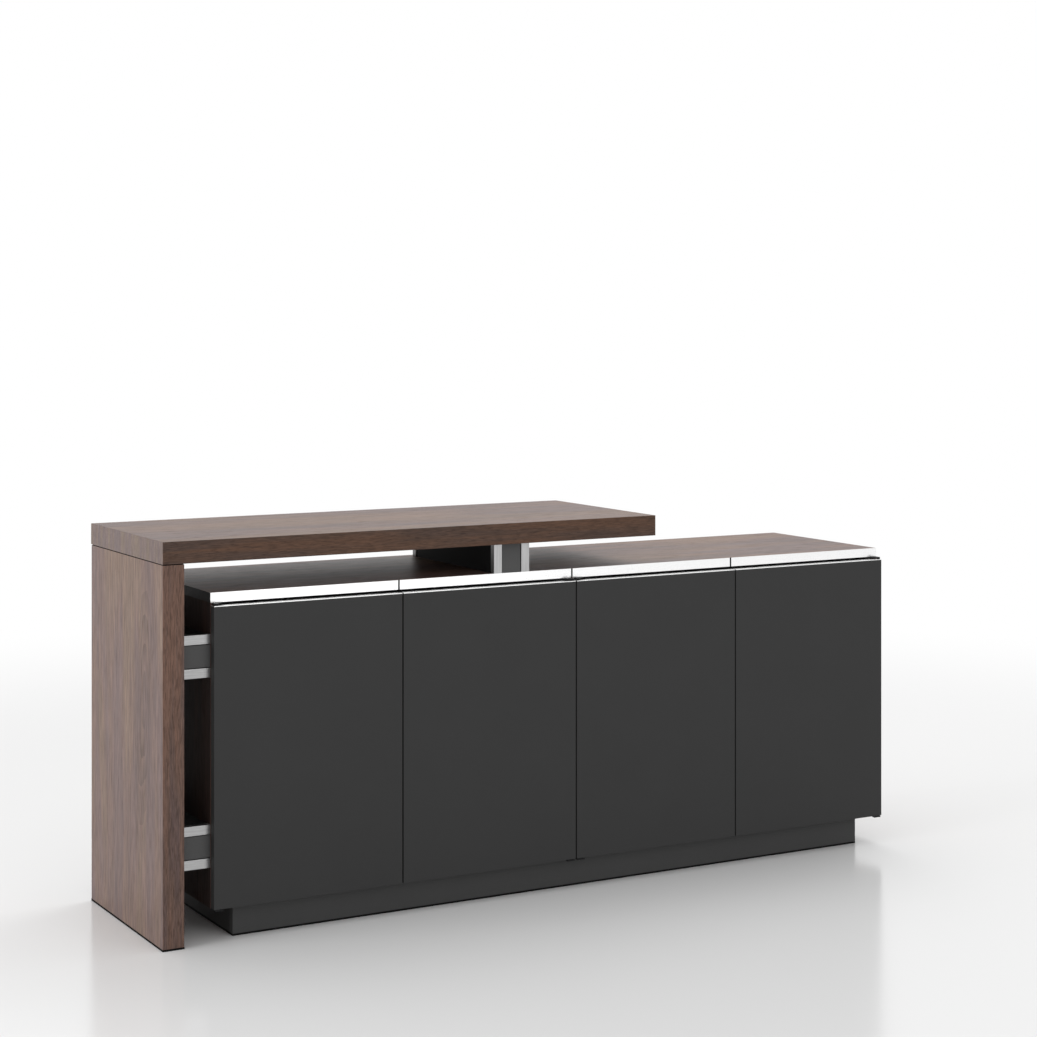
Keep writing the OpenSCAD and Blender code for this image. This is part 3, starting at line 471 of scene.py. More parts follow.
def shade_flanks(
    tree: bpy.types.NodeTree, colour: bpy.types.NodeSocket, flank: str
) -> bpy.types.NodeSocket:
    """Gives the faces that look neither forwards nor backwards a colour of their own, which is painted
    shade.

    Args:
        tree: The material's node tree.
        colour: The colour of the other faces.
        flank: The hex colour of the flanks, a painted shade.

    Returns:
        The colour output socket.
    """
    normal = add_node(tree, "ShaderNodeTexCoord").outputs["Normal"]
    backwards = add_node(
        tree, "ShaderNodeVectorMath", {0: normal, 1: (0.0, 1.0, 0.0)}, operation="DOT_PRODUCT",
    ).outputs["Value"]
    either_way = add_node(
        tree, "ShaderNodeMath", {0: backwards}, operation="ABSOLUTE",
    ).outputs["Value"]
    is_shaded_flank = add_node(
        tree, "ShaderNodeMath", {0: either_way, 1: LOOKS_THAT_WAY}, operation="LESS_THAN",
    ).outputs["Value"]
    return add_node(
        tree, "ShaderNodeMix", {0: is_shaded_flank, 6: colour, 7: linear(flank)}, data_type="RGBA",
    ).outputs[2]


@dataclass(frozen=True)
class MattLaminate:
    """Charcoal melamine on board, pressed with a fine pearl texture.

    The eye gets an even, dead-matt dark field with a very slight cloud in it, and hardly any shine
    until it is seen along the surface. Real pearl is about 0.5 mm wide, too fine to show here, so
    it is drawn 2 mm wide.
    """

    name: str
    colour: str
    roughness: float = 0.55
    roughness_spread: float = 0.05
    specular: float = 0.2
    mottle: float = 0.05
    pearl_mm: float = 2.0
    cloud_mm: float = 1000.0 / 6.0
    relief_mm: float = 0.03
    relief_strength: float = 0.2

    def build(self) -> bpy.types.Material:
        """Makes the material of this laminate.

        Returns:
            The finished material.
        """
        material, tree = new_material(self.name)
        place = add_node(tree, "ShaderNodeTexCoord").outputs["Object"]
        pearl = add_node(
            tree, "ShaderNodeTexNoise",
            {"Vector": place, "Scale": 1.0 / (self.pearl_mm * MM), "Detail": 2.0},
        ).outputs["Fac"]
        cloud = add_node(
            tree, "ShaderNodeTexNoise",
            {"Vector": place, "Scale": 1.0 / (self.cloud_mm * MM), "Detail": 3.0},
        ).outputs["Fac"]
        both = add_node(tree, "ShaderNodeMath", {0: pearl, 1: cloud}, operation="ADD").outputs["Value"]
        shade = add_node(
            tree, "ShaderNodeMapRange",
            {"Value": both, "From Min": 2 * NOISE_LOW, "From Max": 2 * NOISE_HIGH,
             "To Min": 1.0 - self.mottle, "To Max": 1.0 + self.mottle},
        ).outputs["Result"]
        colour = add_node(
            tree, "ShaderNodeVectorMath", {0: linear(self.colour)[:3], "Scale": shade}, operation="SCALE",
        ).outputs["Vector"]
        roughness = add_node(
            tree, "ShaderNodeMapRange",
            {"Value": pearl, "To Min": self.roughness - self.roughness_spread,
             "To Max": self.roughness + self.roughness_spread},
        ).outputs["Result"]
        relief = add_node(
            tree, "ShaderNodeBump",
            {"Height": pearl, "Strength": self.relief_strength, "Distance": self.relief_mm * MM},
        ).outputs["Normal"]
        shader = add_node(
            tree, "ShaderNodeBsdfPrincipled",
            {"Base Color": colour, "Roughness": roughness, "Normal": relief, "IOR": RESIN_IOR,
             "Specular IOR Level": self.specular},
        ).outputs["BSDF"]
        add_node(tree, "ShaderNodeOutputMaterial", {"Surface": shader})
        return material


@dataclass(frozen=True)
class DrawnMetal:
    """Extruded, rolled or plated metal with fine draw lines along it.

    The eye gets a soft mirror whose reflections are pulled out across the lines. Real draw lines
    are about 0.05 mm wide, too fine to show here, so they are drawn 0.6 to 3 mm wide.
    """

    name: str
    colour: str
    roughness: float
    grain: Grain
    lines: Marks = Marks(180.0, 0.9, 0.30, 0.70, detail=3.0)
    contrast: float = 0.05
    roughness_spread: float = 0.04
    flank_shade_colour: str | None = None
    relief_mm: float = 0.02
    relief_strength: float = 0.15

    def build(self) -> bpy.types.Material:
        """Makes the material of this metal.

        Returns:
            The finished material.
        """
        material, tree = new_material(self.name)
        place = add_node(tree, "ShaderNodeTexCoord").outputs["Object"]
        along = add_node(
            tree, "ShaderNodeMapping", {"Vector": place, "Rotation": self.grain.turn()},
        ).outputs["Vector"]
        lines = self.lines.layer(tree, along)
        shade = add_node(
            tree, "ShaderNodeMapRange", {"Value": lines, "To Min": 1.0 - self.contrast, "To Max": 1.0},
        ).outputs["Result"]
        colour = add_node(
            tree, "ShaderNodeVectorMath", {0: linear(self.colour)[:3], "Scale": shade}, operation="SCALE",
        ).outputs["Vector"]
        # Where a flank colour is given, the flanks get painted shade.
        if self.flank_shade_colour is not None:
            colour = shade_flanks(tree, colour, self.flank_shade_colour)
        roughness = add_node(
            tree, "ShaderNodeMapRange",
            {"Value": lines, "To Min": self.roughness - self.roughness_spread,
             "To Max": self.roughness + self.roughness_spread},
        ).outputs["Result"]
        relief = add_node(
            tree, "ShaderNodeBump",
            {"Height": lines, "Strength": self.relief_strength, "Distance": self.relief_mm * MM},
        ).outputs["Normal"]
        shader = add_node(
            tree, "ShaderNodeBsdfPrincipled",
            {"Base Color": colour, "Roughness": roughness, "Normal": relief, "Metallic": 1.0},
        ).outputs["BSDF"]
        add_node(tree, "ShaderNodeOutputMaterial", {"Surface": shader})
        return material


@dataclass(frozen=True)
class GrainedSkin:
    """Moulded plastic, rubber or baked coating: one colour with a fine even grain.

    The eye gets a soft broad highlight that the grain breaks up. Real grain on plastic and rubber
    is about 0.2 mm wide, too fine to show here, so it is drawn 0.8 mm wide.
    """

    name: str
    colour: str
    roughness: float = 0.5
    specular: float = 0.5
    darkest: float = 0.92
    lightest: float = 1.06
    grain_mm: float = 0.8
    relief_mm: float = 0.03
    relief_strength: float = 0.3
    flank_shade_colour: str | None = None

    def build(self) -> bpy.types.Material:
        """Makes the material of this skin.

        Returns:
            The finished material.
        """
        material, tree = new_material(self.name)
        place = add_node(tree, "ShaderNodeTexCoord").outputs["Object"]
        grain = add_node(
            tree, "ShaderNodeTexNoise",
            {"Vector": place, "Scale": 1.0 / (self.grain_mm * MM), "Detail": 3.0},
        ).outputs["Fac"]
        shade = add_node(
            tree, "ShaderNodeMapRange",
            {"Value": grain, "From Min": NOISE_LOW, "From Max": NOISE_HIGH, "To Min": self.darkest,
             "To Max": self.lightest},
        ).outputs["Result"]
        colour = add_node(
            tree, "ShaderNodeVectorMath", {0: linear(self.colour)[:3], "Scale": shade}, operation="SCALE",
        ).outputs["Vector"]
        # Where a flank colour is given, the flanks get painted shade.
        if self.flank_shade_colour is not None:
            colour = shade_flanks(tree, colour, self.flank_shade_colour)
        relief = add_node(
            tree, "ShaderNodeBump",
            {"Height": grain, "Strength": self.relief_strength, "Distance": self.relief_mm * MM},
        ).outputs["Normal"]
        shader = add_node(
            tree, "ShaderNodeBsdfPrincipled",
            {"Base Color": colour, "Roughness": self.roughness, "Normal": relief, "IOR": RESIN_IOR,
             "Specular IOR Level": self.specular},
        ).outputs["BSDF"]
        add_node(tree, "ShaderNodeOutputMaterial", {"Surface": shader})
        return material


Finish = Woodgrain | MattLaminate | DrawnMetal | GrainedSkin

# The tones of the walnut print on each kind of face: darker on front edges, paler on the side panel and on
# left ends, and painted shade for faces deep in shade.
FACE_TONES = Tones(warm="#705747", middle="#6a5248", cool="#634f4a", vein="#594c4d", pore="#3a2a25")
SIDE_TONES = Tones(warm="#796355", middle="#755e55", cool="#6f5b57", vein="#675858", pore="#46352f")
END_TONES = Tones(warm="#79695c", middle="#74635e", cool="#6e605f", vein="#665d60", pore="#463934")
EDGE_TONES = Tones(warm="#563d2e", middle="#4f3a2e", cool="#48372f", vein="#413531", pore="#241813")
UPRIGHT_EDGE_TONES = Tones(warm="#6a5044", middle="#624d44", cool="#594844", vein="#4f4341", pore="#32231e")
# Painted shade: dark brown tones for the left side's outer face, deep in the gap under the bridge.
PAINTED_SHADE_TONES = Tones(warm="#3d2c26", middle="#372a25", cool="#322825", vein="#2d2625", pore="#1e1613")
# Painted shade: nearly black tones for the cabinet top's left and front faces.
PAINTED_BLACK_SHADE_TONES = Tones(warm="#141313", middle="#121212", cool="#101010", vein="#0e0e0e", pore="#0a0a0a")
# Pale turned beech has the same five tones.
BEECH_TONES = Tones(warm="#d2ad80", middle="#c9a57a", cool="#bd9a72", vein="#b8946b", pore="#a07e58")

# Edging is a narrow strip of the print, so its marks are shorter and closer, and it shines less.
EDGING_MARKS = {
    "veins": Marks(120.0, 5.0, 0.58, 0.70, detail=1.0),
    "growth": Marks(160.0, 7.0, 0.34, 0.66, detail=3.0, shift=12.6),
    "fibres": Marks(34.0, 2.8, 0.36, 0.64, shift=5.7),
    "pores": Marks(24.0, 2.5, 0.52, 0.62, shift=1.9),
    "flecks": Marks(22.0, 2.5, 0.53, 0.63, shift=9.4),
    "fibre_contrast": 0.15,
    "pore_strength": 0.36,
    "fleck_strength": 0.24,
    "specular": 0.2,
}
# A wide top shows broad quiet bands with stronger growth lines between them.
TOP_MARKS = {
    "bands": Marks(700.0, 120.0, 0.34, 0.66),
    "growth": Marks(360.0, 24.0, 0.36, 0.64, shift=12.6),
    "growth_contrast": 0.13,
}

# Walnut melamine on the bridge top: long bands, one patch of arches and a satin haze.
WALNUT_TOP = Woodgrain(
    "walnut_melamine_top", FACE_TONES, Grain.ALONG_X, shift=(0.3, 0.10, 0.86),
    arches=Arches((-0.25, -0.08, 0.90)), **TOP_MARKS,
)
# Walnut melamine on the cabinet top: the same, with painted shade that makes its left and front faces
# nearly black.
WALNUT_LOWER_TOP = Woodgrain(
    "walnut_melamine_lower_top", FACE_TONES, Grain.ALONG_X, end_tones=PAINTED_BLACK_SHADE_TONES,
    end_facing=Facing.LEFT_AND_FRONT, shift=(0.9, 0.45, 0.3), arches=Arches((0.55, 0.02, 0.778)),
    **TOP_MARKS,
)
# Walnut melamine on the side panel: upright, a little paler, with tall clear arches.
WALNUT_SIDE = Woodgrain(
    "walnut_melamine_side", SIDE_TONES, Grain.ALONG_Z, shift=(0.0, 0.06, -0.92),
    growth=Marks(240.0, 15.0, 0.38, 0.62, shift=12.6), growth_contrast=0.09,
    fibres=Marks(80.0, 7.0, 0.38, 0.62, shift=5.7), fibre_contrast=0.13,
    arches=Arches((-1.0, -0.122, 0.53), ring_mm=13.0, reach_mm=80.0, tilt_deg=11.0), arch_strength=0.6,
)
# Walnut edging on the bridge top: a darker streaky band in front, paler at the left end.
WALNUT_EDGE_LEVEL = Woodgrain(
    "walnut_edging_level", EDGE_TONES, Grain.ALONG_X, end_tones=END_TONES, shift=(0.7, -0.3, 0.2),
    bands=Marks(500.0, 26.0, 0.30, 0.70, detail=3.0), **EDGING_MARKS,
)
# Walnut edging on the side panel: a streaky upright band.
WALNUT_EDGE_UPRIGHT = Woodgrain(
    "walnut_edging_upright", UPRIGHT_EDGE_TONES, Grain.ALONG_Z, shift=(0.2, -0.1, 0.5),
    bands=Marks(420.0, 22.0, 0.30, 0.70, detail=3.0), **EDGING_MARKS,
)
# Walnut melamine on the right side, partition and back: upright grain with arches at the right.
WALNUT_CARCASS = Woodgrain(
    "walnut_melamine_carcass", FACE_TONES, Grain.ALONG_Z, shift=(0.4, -0.2, 0.1),
    arches=Arches((1.0, 0.05, 0.40)),
)
# Walnut melamine on the left side, dull all over: its outer face gets painted shade, dark as in the shade
# of the bridge.
WALNUT_LEFT_SIDE = Woodgrain(
    "walnut_melamine_left_side", FACE_TONES, Grain.ALONG_Z, end_tones=PAINTED_SHADE_TONES, shift=(0.4, -0.2, 0.1),
    roughness=0.6, specular=0.15,
)
# Walnut melamine on shelves and bottom: plain grain along their length.
WALNUT_SHELF = Woodgrain("walnut_melamine_shelf", FACE_TONES, Grain.ALONG_X, shift=(0.1, 0.3, -0.2))
# Turned beech, raw: pale and dull, with short fine pores.
BEECH = Woodgrain(
    "turned_beech", BEECH_TONES, Grain.ALONG_Z, bands=Marks(60.0, 5.0, 0.30, 0.70),
    pores=Marks(3.0, 0.5, 0.57, 0.70), roughness=0.6,
)
# Charcoal melamine: a neutral dark field on the doors, a little paler on the plinth, and painted shade that
# makes the plinth's ends darker.
CHARCOAL_DOOR = MattLaminate("charcoal_melamine_doors", colour="#333333")
CHARCOAL_PLINTH = MattLaminate("charcoal_melamine_plinth", colour="#404040")
CHARCOAL_PLINTH_END_SHADE = MattLaminate("charcoal_melamine_plinth_ends_painted_shade", colour="#2e2e2e")
# Black melamine behind the finger slot, painted shade: so dark and dull that the slot reads as the black
# line of its shadow.
RECESS_SHADE_LAMINATE = MattLaminate("black_melamine_recess_painted_shade", colour="#121212", specular=0.1)
# Anodised aluminium: bright and fine on the strip, duller on the caps, grey with broad lines on profiles.
PROFILE_LINES = Marks(80.0, 3.0, 0.34, 0.66)
ANODISED_STRIP = DrawnMetal("anodised_aluminium_strip", "#f7f7f7", 0.24, Grain.ALONG_X, contrast=0.03)
ANODISED_CAP = DrawnMetal("anodised_aluminium_cap", "#f7f7f7", 0.36, Grain.ALONG_X, contrast=0.03)
# The post's profiles get painted shade: their flanks are a darker grey than their faces.
ANODISED_POST = DrawnMetal(
    "anodised_aluminium_post", "#adadad", 0.32, Grain.ALONG_Z, PROFILE_LINES, 0.16, flank_shade_colour="#6c6c6c",
)
ANODISED_SIDE = DrawnMetal("anodised_aluminium_side", "#a4a4a4", 0.32, Grain.ALONG_X, PROFILE_LINES, 0.16)
# Plated steel: cool grey zinc with a blurred mirror, and black zinc that only glints on its edges.
PLATE_LINES = Marks(60.0, 0.6, 0.30, 0.70, detail=3.0)
ZINC_PLATE = DrawnMetal("zinc_plated_steel", "#b9bbbd", 0.30, Grain.ALONG_X, PLATE_LINES)
BLACK_ZINC = DrawnMetal("black_zinc_steel", "#1e1e1f", 0.45, Grain.ALONG_X, PLATE_LINES)
# Powder-coated steel: matt dark grey with a slight orange peel, and painted shade that makes the flanks
# nearly black.
POWDER_COAT = GrainedSkin(
    "powder_coated_steel", colour="#545454", roughness=0.7, specular=0.12, grain_mm=1.2,
    flank_shade_colour="#0e0e0e",
)
# Moulded black plastic: matt and black, with almost no highlight.
BLACK_PLASTIC = GrainedSkin("moulded_black_plastic", colour="#090909", roughness=0.7, specular=0.08)
# Turned black acetal: black with a faint waxy shine.
BLACK_ACETAL = GrainedSkin("turned_black_acetal", colour="#121213", roughness=0.5, specular=0.2)
# Black dipped steel: an even black coat, a little duller than acetal.
BLACK_COAT = GrainedSkin("black_dipped_steel", colour="#131314", roughness=0.55, specular=0.2)
# Soft grey rubber: a mid grey with a broad dull shine.
SOFT_RUBBER = GrainedSkin("clear_grey_rubber", colour="#4b4b4d", roughness=0.6)


@functools.cache
def material_of(finish: Finish) -> bpy.types.Material:
    """Returns the material of a finish, which is built the first time that it is asked for."""
    return finish.build()


def dress(nodes: Sequence[str], finish: Finish) -> None:
    """Gives CAD nodes their finish.

    Args:
        nodes: The names of the CAD nodes.
        finish: The finish that all of them get.
    """
    for name in nodes:
        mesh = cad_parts[name].data
        mesh.materials.clear()
        mesh.materials.append(material_of(finish))
        LOG.info("%s: %s", name, finish.name)


def make_object(name: str, shape: bmesh.types.BMesh, material: bpy.types.Material) -> bpy.types.Object:
    """Makes an object of a finished shape.

    Args:
        name: The object's name.
        shape: The shape, in place. It is freed.
        material: The object's material.

    Returns:
        The new object, at the origin.
    """
    mesh = bpy.data.meshes.new(name)
    shape.to_mesh(mesh)
    shape.free()
    mesh.materials.append(material)
    made = bpy.data.objects.new(name, mesh)
    bpy.context.scene.collection.objects.link(made)
    return made


def place_piece(name: str, shape: bmesh.types.BMesh, body: str, finish: Finish) -> None:
    """Makes a piece of a finished shape and lets it ride.

    Args:
        name: The new piece's name.
        shape: The shape, in place. It is freed.
        body: The CAD body that carries the piece.
        finish: The piece's finish.
    """
    bmesh.ops.recalc_face_normals(shape, faces=shape.faces)
    piece = make_object(name, shape, material_of(finish))
    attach(piece, body)
    LOG.info("%s: new piece, %s", name, finish.name)


def lay_sheet(shape: bmesh.types.BMesh, low: Vector, high: Vector) -> bmesh.types.BMFace:
    """Lays a flat rectangle on the lowest level of a box.

    Args:
        shape: The shape that gets the rectangle.
        low: The box's lowest corner.
        high: The box's highest corner.

    Returns:
        The rectangle.
    """
    size = high - low
    corners = bmesh.ops.create_grid(shape, x_segments=1, y_segments=1, size=0.5)["verts"]
    bmesh.ops.scale(shape, vec=(size.x, size.y, 1.0), verts=corners)
    bmesh.ops.translate(shape, vec=(low + Vector((size.x / 2, size.y / 2, 0.0))), verts=corners)
    return corners[0].link_faces[0]


def raise_faces(shape: bmesh.types.BMesh, faces: Sequence[bmesh.types.BMFace], height: float) -> None:
    """Draws flat faces upwards into a closed solid.

    Args:
        shape: The shape that holds the faces.
        faces: The faces.
        height: How far they are drawn.
    """
    rising = bmesh.ops.extrude_face_region(shape, geom=faces)["geom"]
    lifted = [item for item in rising if isinstance(item, bmesh.types.BMVert)]
    bmesh.ops.translate(shape, vec=(0.0, 0.0, height), verts=lifted)


def add_slab(shape: bmesh.types.BMesh, low: Vector, high: Vector) -> None:
    """Adds a thin board to a shape.

    Args:
        shape: The shape that gets the board.
        low: The board's lowest corner.
        high: The board's highest corner.
    """
    raise_faces(shape, [lay_sheet(shape, low, high)], high.z - low.z)


def add_collar(shape: bmesh.types.BMesh, low: Vector, high: Vector, wall: float) -> None:
    """Adds a rectangular collar to a shape.

    Args:
        shape: The shape that gets the collar.
        low: The collar's lowest outer corner.
        high: The collar's highest outer corner.
        wall: How thick the collar is, inwards.
    """
    field = [lay_sheet(shape, low, high)]
    rim = bmesh.ops.inset_region(
        shape, faces=field, thickness=wall, use_boundary=True, use_even_offset=True,
    )["faces"]
    bmesh.ops.delete(shape, geom=field, context="FACES")
    raise_faces(shape, rim, high.z - low.z)


@dataclass(frozen=True)
class FootLip:
    """The soft black lip that seals the foot of a panel or plinth to the floor."""

    height: float = 0.0045
    proud: float = 0.0002
    wall: float = 0.0012

    def fit(self, name: str, low: Vector, high: Vector) -> None:
        """Fits the lip round a foot.

        Args:
            name: The lip's name.
            low: The foot's left front corner, on the floor.
            high: The foot's right back corner, on the floor.
        """
        lip = bmesh.new()
        add_collar(
            lip, Vector((low.x - self.proud, low.y - self.proud, 0.0)),
            Vector((high.x + self.proud, high.y + self.proud, self.height)), self.wall,
        )
        place_piece(name, lip, "unit", BLACK_PLASTIC)


@dataclass
class Bridge:
    """The thick cantilevered top with the side panel under its left end.

    The black tape round the side panel's shadow groove is painted shade that darkens the seam under
    the top. It stands proud of the groove's floor by its own thickness, is bedded as deep below it,
    and stops just short of the groove's upper wall.
    """

    groove_low: float = 0.848
    groove_height: float = 0.002
    groove_depth: float = 0.002
    tape: float = 0.0005
    tape_gap: float = 0.0001
    foot_lip: FootLip = FootLip()

    def finish(self) -> None:
        """Dresses the two panels with their edging, foot strip and dowels."""
        self._groove_tape()
        self._seal_foot()
        dress(["bridge_top"], WALNUT_TOP)
        dress(["bridge_top_edging"], WALNUT_EDGE_LEVEL)
        dress(["gable_panel"], WALNUT_SIDE)
        dress(["gable_edging"], WALNUT_EDGE_UPRIGHT)
        dress(["gable_foot_strip"], BLACK_PLASTIC)
        dress(["gable_dowels"], BEECH)

    def _groove_tape(self) -> None:
        """Lines the shadow groove round the top of the side panel with thin black tape, painted shade that
        darkens the seam.
        """
        low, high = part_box("gable_panel")
        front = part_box("gable_edging")[0].y
        inset = self.groove_depth - self.tape
        tape = bmesh.new()
        add_collar(
            tape, Vector((low.x + inset, front + inset, self.groove_low)),
            Vector((high.x - inset, high.y - inset, self.groove_low + self.groove_height - self.tape_gap)),
            2 * self.tape,
        )
        place_piece("gable_groove_shade_tape", tape, "unit", BLACK_PLASTIC)

    def _seal_foot(self) -> None:
        """Fits a soft sealing lip round the foot of the side panel."""
        low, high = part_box("gable_panel")
        front, back = (corner.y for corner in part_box("gable_edging"))
        self.foot_lip.fit("gable_foot_lip", Vector((low.x, front, 0.0)), Vector((high.x, back, 0.0)))


@dataclass
class Connectors:
    """The boxed post over the cabinet and the two boxed spacers beside it."""

    def finish(self) -> None:
        """Dresses the bright corner profiles, the dark sleeves and their screws."""
        dress(["post_sleeve", "side_connector_sleeves"], POWDER_COAT)
        dress(["post_profiles"], ANODISED_POST)
        dress(["side_connector_profiles"], ANODISED_SIDE)
        dress(["connector_screws"], ZINC_PLATE)


@dataclass
class Carcass:
    """The cabinet's boards, shelves and plinth."""

    foot_lip: FootLip = FootLip()

    def finish(self) -> None:
        """Dresses the boards by the way their grain runs and seals the plinth's foot."""
        self._seal_foot()
        # Painted shade: the cabinet top's left and front faces, the left side's outer face, the plinth's
        # ends and the black boards behind the finger slot.
        dress(["cabinet_top"], WALNUT_LOWER_TOP)
        dress(["left_side"], WALNUT_LEFT_SIDE)
        dress(["right_side", "centre_partition", "cabinet_backs"], WALNUT_CARCASS)
        dress(["cabinet_bottom", "shelf_left", "shelf_right"], WALNUT_SHELF)
        dress(["plinth_front", "plinth_back"], CHARCOAL_PLINTH)
        dress(["plinth_ends"], CHARCOAL_PLINTH_END_SHADE)
        dress(["front_rails", "recess_boards"], RECESS_SHADE_LAMINATE)
        dress(["plinth_foot_strips"], BLACK_PLASTIC)
        dress(["carcass_dowels"], BEECH)

    def _seal_foot(self) -> None:
        """Fits a soft sealing lip round the foot of the plinth."""
        low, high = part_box("plinth_front")
        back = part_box("plinth_back")[1].y
        self.foot_lip.fit("plinth_foot_lip", Vector((low.x, low.y, 0.0)), Vector((high.x, back, 0.0)))


@dataclass
class Ironmongery:
    """Edge strips with their joint covers, pivots, catches, pegs and screws on the carcass."""

    doors: int = DOOR_COUNT
    cover_proud: float = 0.00015
    cover_overlap: float = 0.0006
    cover_depth: float = 0.0018

    def finish(self) -> None:
        """Dresses the small pieces and covers the joints between the edge strips with painted shade."""
        self._joint_covers()
        dress(["edge_strips"], ANODISED_STRIP)
        dress(["bottom_brackets", "top_brackets"], BLACK_COAT)
        dress(["pivot_pins", "bracket_screws"], BLACK_ZINC)
        dress(["rail_screws", "shelf_pegs"], ZINC_PLATE)
        dress(["catch_magnets"], BLACK_PLASTIC)

    def _joint_covers(self) -> None:
        """Clips a thin black cover over each joint, painted shade that widens the dark line of the gap
        between the strips and overlaps their ends.
        """
        low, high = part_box("edge_strips")
        front = low.y - self.cover_proud
        covers = bmesh.new()
        for number in range(1, self.doors):
            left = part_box(f"door_{number}_panel")[1].x - self.cover_overlap
            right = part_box(f"door_{number + 1}_panel")[0].x + self.cover_overlap
            add_slab(
                covers, Vector((left, front, low.z)),
                Vector((right, front + self.cover_depth, high.z + self.cover_proud)),
            )
        place_piece("edge_strip_joint_shade_covers", covers, "unit", BLACK_PLASTIC)


@dataclass
class Doors:
    """The four doors with their caps, plates, bushes, screws and bumpers."""

    count: int = DOOR_COUNT

    def finish(self) -> None:
        """Dresses every door alike."""
        finishes = {
            "panel": CHARCOAL_DOOR,
            "cap": ANODISED_CAP,
            "plates": BLACK_COAT,
            "bushes": BLACK_ACETAL,
            "screws": ZINC_PLATE,
            "bumpers": SOFT_RUBBER,
        }
        for piece, finish in finishes.items():
            dress([f"door_{number}_{piece}" for number in range(1, self.count + 1)], finish)


@dataclass(frozen=True)
class Lamp:
    """A square soft box that lights the object and isn't seen by the eye."""

    name: str
    place: Place
    size: float
    watts: float
    aim: Place = (0.0, 0.0, 0.45)

    def hang(self) -> None:
        """Adds the lamp, which looks at the middle of the object."""
        data = bpy.data.lights.new(self.name, "AREA")
        data.shape = "SQUARE"
        data.size = self.size
        data.energy = self.watts
        lamp = bpy.data.objects.new(self.name, data)
        lamp.location = self.place
        towards = Vector(self.aim) - Vector(self.place)
        lamp.rotation_euler = towards.to_track_quat("-Z", "Y").to_euler()
        lamp.visible_camera = False
        bpy.context.scene.collection.objects.link(lamp)


def is_seen(tree: bpy.types.NodeTree) -> bpy.types.NodeSocket:
    """Tells a ray that shows something, to the eye or in metal and glass, from one that lights.

    Args:
        tree: The node tree of the world or of a material.

    Returns:
        The output socket, 1 for a camera, glossy or transmission ray.
    """
    path = add_node(tree, "ShaderNodeLightPath")
    eye = add_node(
        tree, "ShaderNodeMath",
        {0: path.outputs["Is Camera Ray"], 1: path.outputs["Is Glossy Ray"]}, operation="MAXIMUM",
    ).outputs["Value"]
    return add_node(
        tree, "ShaderNodeMath", {0: eye, 1: path.outputs["Is Transmission Ray"]}, operation="MAXIMUM",
    ).outputs["Value"]


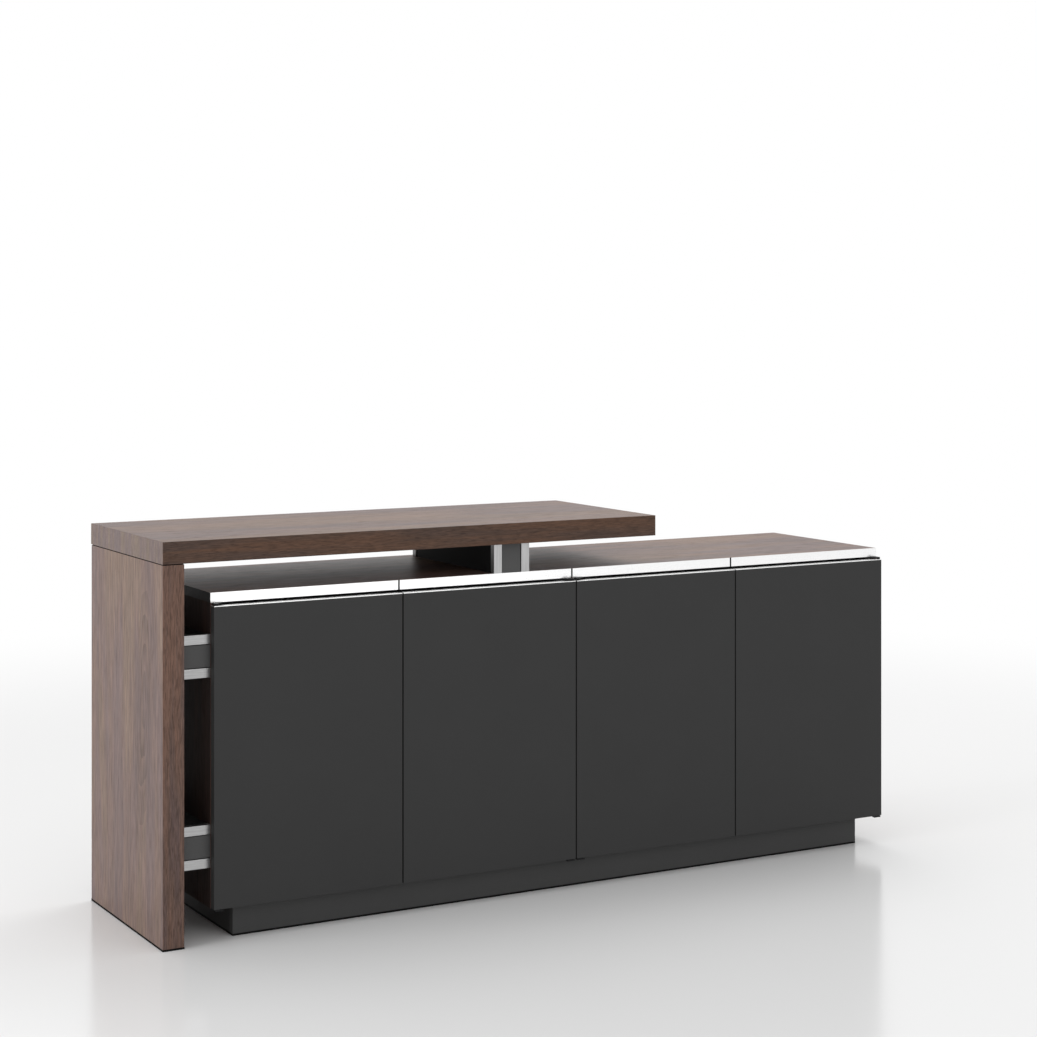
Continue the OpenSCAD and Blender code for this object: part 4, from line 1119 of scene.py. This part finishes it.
@dataclass
class Studio:
    """Camera, white background, pale floor and soft lights.

    The floor keeps its own colour up to fade_start from the middle of the object, and has turned
    into the white background at fade_end.
    """

    camera_place: Place = (-2.6859, -4.8351, 1.4138)
    camera_yaw_deg: float = -29.355
    focal_mm: float = 76.39
    sensor_mm: float = 36.0
    shift_y: float = -0.2029
    clip_end: float = 100.0
    ambient: float = 0.72
    floor_radius: float = 30.0
    floor_sides: int = 96
    floor_colour: str = "#f0f0f0"
    floor_roughness: float = 0.16
    floor_ior: float = 1.45
    fade_start: float = 1.6
    fade_end: float = 4.6
    lamps: tuple[Lamp, ...] = (
        Lamp("top", (1.4, 0.7, 3.4), size=2.2, watts=34.0),
        Lamp("left", (-4.6, -0.4, 2.4), size=2.6, watts=70.0),
        Lamp("front", (0.9, -5.0, 1.8), size=3.0, watts=35.0),
    )

    def build(self) -> None:
        """Makes the whole set."""
        self._camera()
        self._world()
        self._floor()
        for lamp in self.lamps:
            lamp.hang()

    def _camera(self) -> None:
        """Makes the camera, level and with a lens shift, as in architectural pictures."""
        data = bpy.data.cameras.new("camera")
        data.lens = self.focal_mm
        data.sensor_width = self.sensor_mm
        data.shift_y = self.shift_y
        data.clip_end = self.clip_end
        camera = bpy.data.objects.new("camera", data)
        camera.location = self.camera_place
        camera.rotation_euler = (math.pi / 2, 0.0, math.radians(self.camera_yaw_deg))
        bpy.context.scene.collection.objects.link(camera)
        bpy.context.scene.camera = camera

    def _world(self) -> None:
        """Makes a white background to look at, and a weaker even light."""
        world = bpy.data.worlds.new("studio_world")
        world.use_nodes = True
        tree = world.node_tree
        tree.nodes.clear()
        light = add_node(tree, "ShaderNodeBackground", {"Color": WHITE, "Strength": self.ambient})
        white = add_node(tree, "ShaderNodeBackground", {"Color": WHITE, "Strength": 1.0})
        both = add_node(
            tree, "ShaderNodeMixShader", {0: is_seen(tree), 1: light.outputs[0], 2: white.outputs[0]},
        )
        add_node(tree, "ShaderNodeOutputWorld", {"Surface": both.outputs[0]})
        bpy.context.scene.world = world

    def _floor(self) -> None:
        """Lays a round floor."""
        shape = bmesh.new()
        bmesh.ops.create_circle(shape, cap_ends=True, segments=self.floor_sides, radius=self.floor_radius)
        floor = make_object("floor", shape, self._floor_material())

    def _floor_material(self) -> bpy.types.Material:
        """Makes a pale polished floor that fades into the white background.

        Returns:
            The finished material.
        """
        material, tree = new_material("polished_pale_floor")
        place = add_node(tree, "ShaderNodeTexCoord").outputs["Object"]
        distance = add_node(
            tree, "ShaderNodeVectorMath", {0: place}, operation="LENGTH",
        ).outputs["Value"]
        far = add_node(
            tree, "ShaderNodeMapRange",
            {"Value": distance, "From Min": self.fade_start, "From Max": self.fade_end},
            interpolation_type="SMOOTHSTEP",
        ).outputs["Result"]
        fade = add_node(
            tree, "ShaderNodeMath", {0: far, 1: is_seen(tree)}, operation="MULTIPLY",
        ).outputs["Value"]
        shader = add_node(
            tree, "ShaderNodeBsdfPrincipled",
            {"Base Color": linear(self.floor_colour), "Roughness": self.floor_roughness,
             "IOR": self.floor_ior},
        ).outputs["BSDF"]
        white = add_node(tree, "ShaderNodeEmission", {"Color": WHITE, "Strength": 1.0}).outputs[0]
        both = add_node(tree, "ShaderNodeMixShader", {0: fade, 1: shader, 2: white}).outputs[0]
        add_node(tree, "ShaderNodeOutputMaterial", {"Surface": both})
        return material


def main() -> None:
    """Builds the sub-assemblies in order and reports each one."""
    logging.basicConfig(level=logging.INFO, format="%(name)s: %(message)s")
    bpy.context.scene.view_settings.view_transform = "Standard"
    for part in (Bridge(), Connectors(), Carcass(), Ironmongery(), Doors()):
        part.finish()
        LOG.info("dressed %s", type(part).__name__)
    Studio().build()
    LOG.info("set the studio")


if __name__ == "__main__":
    main()
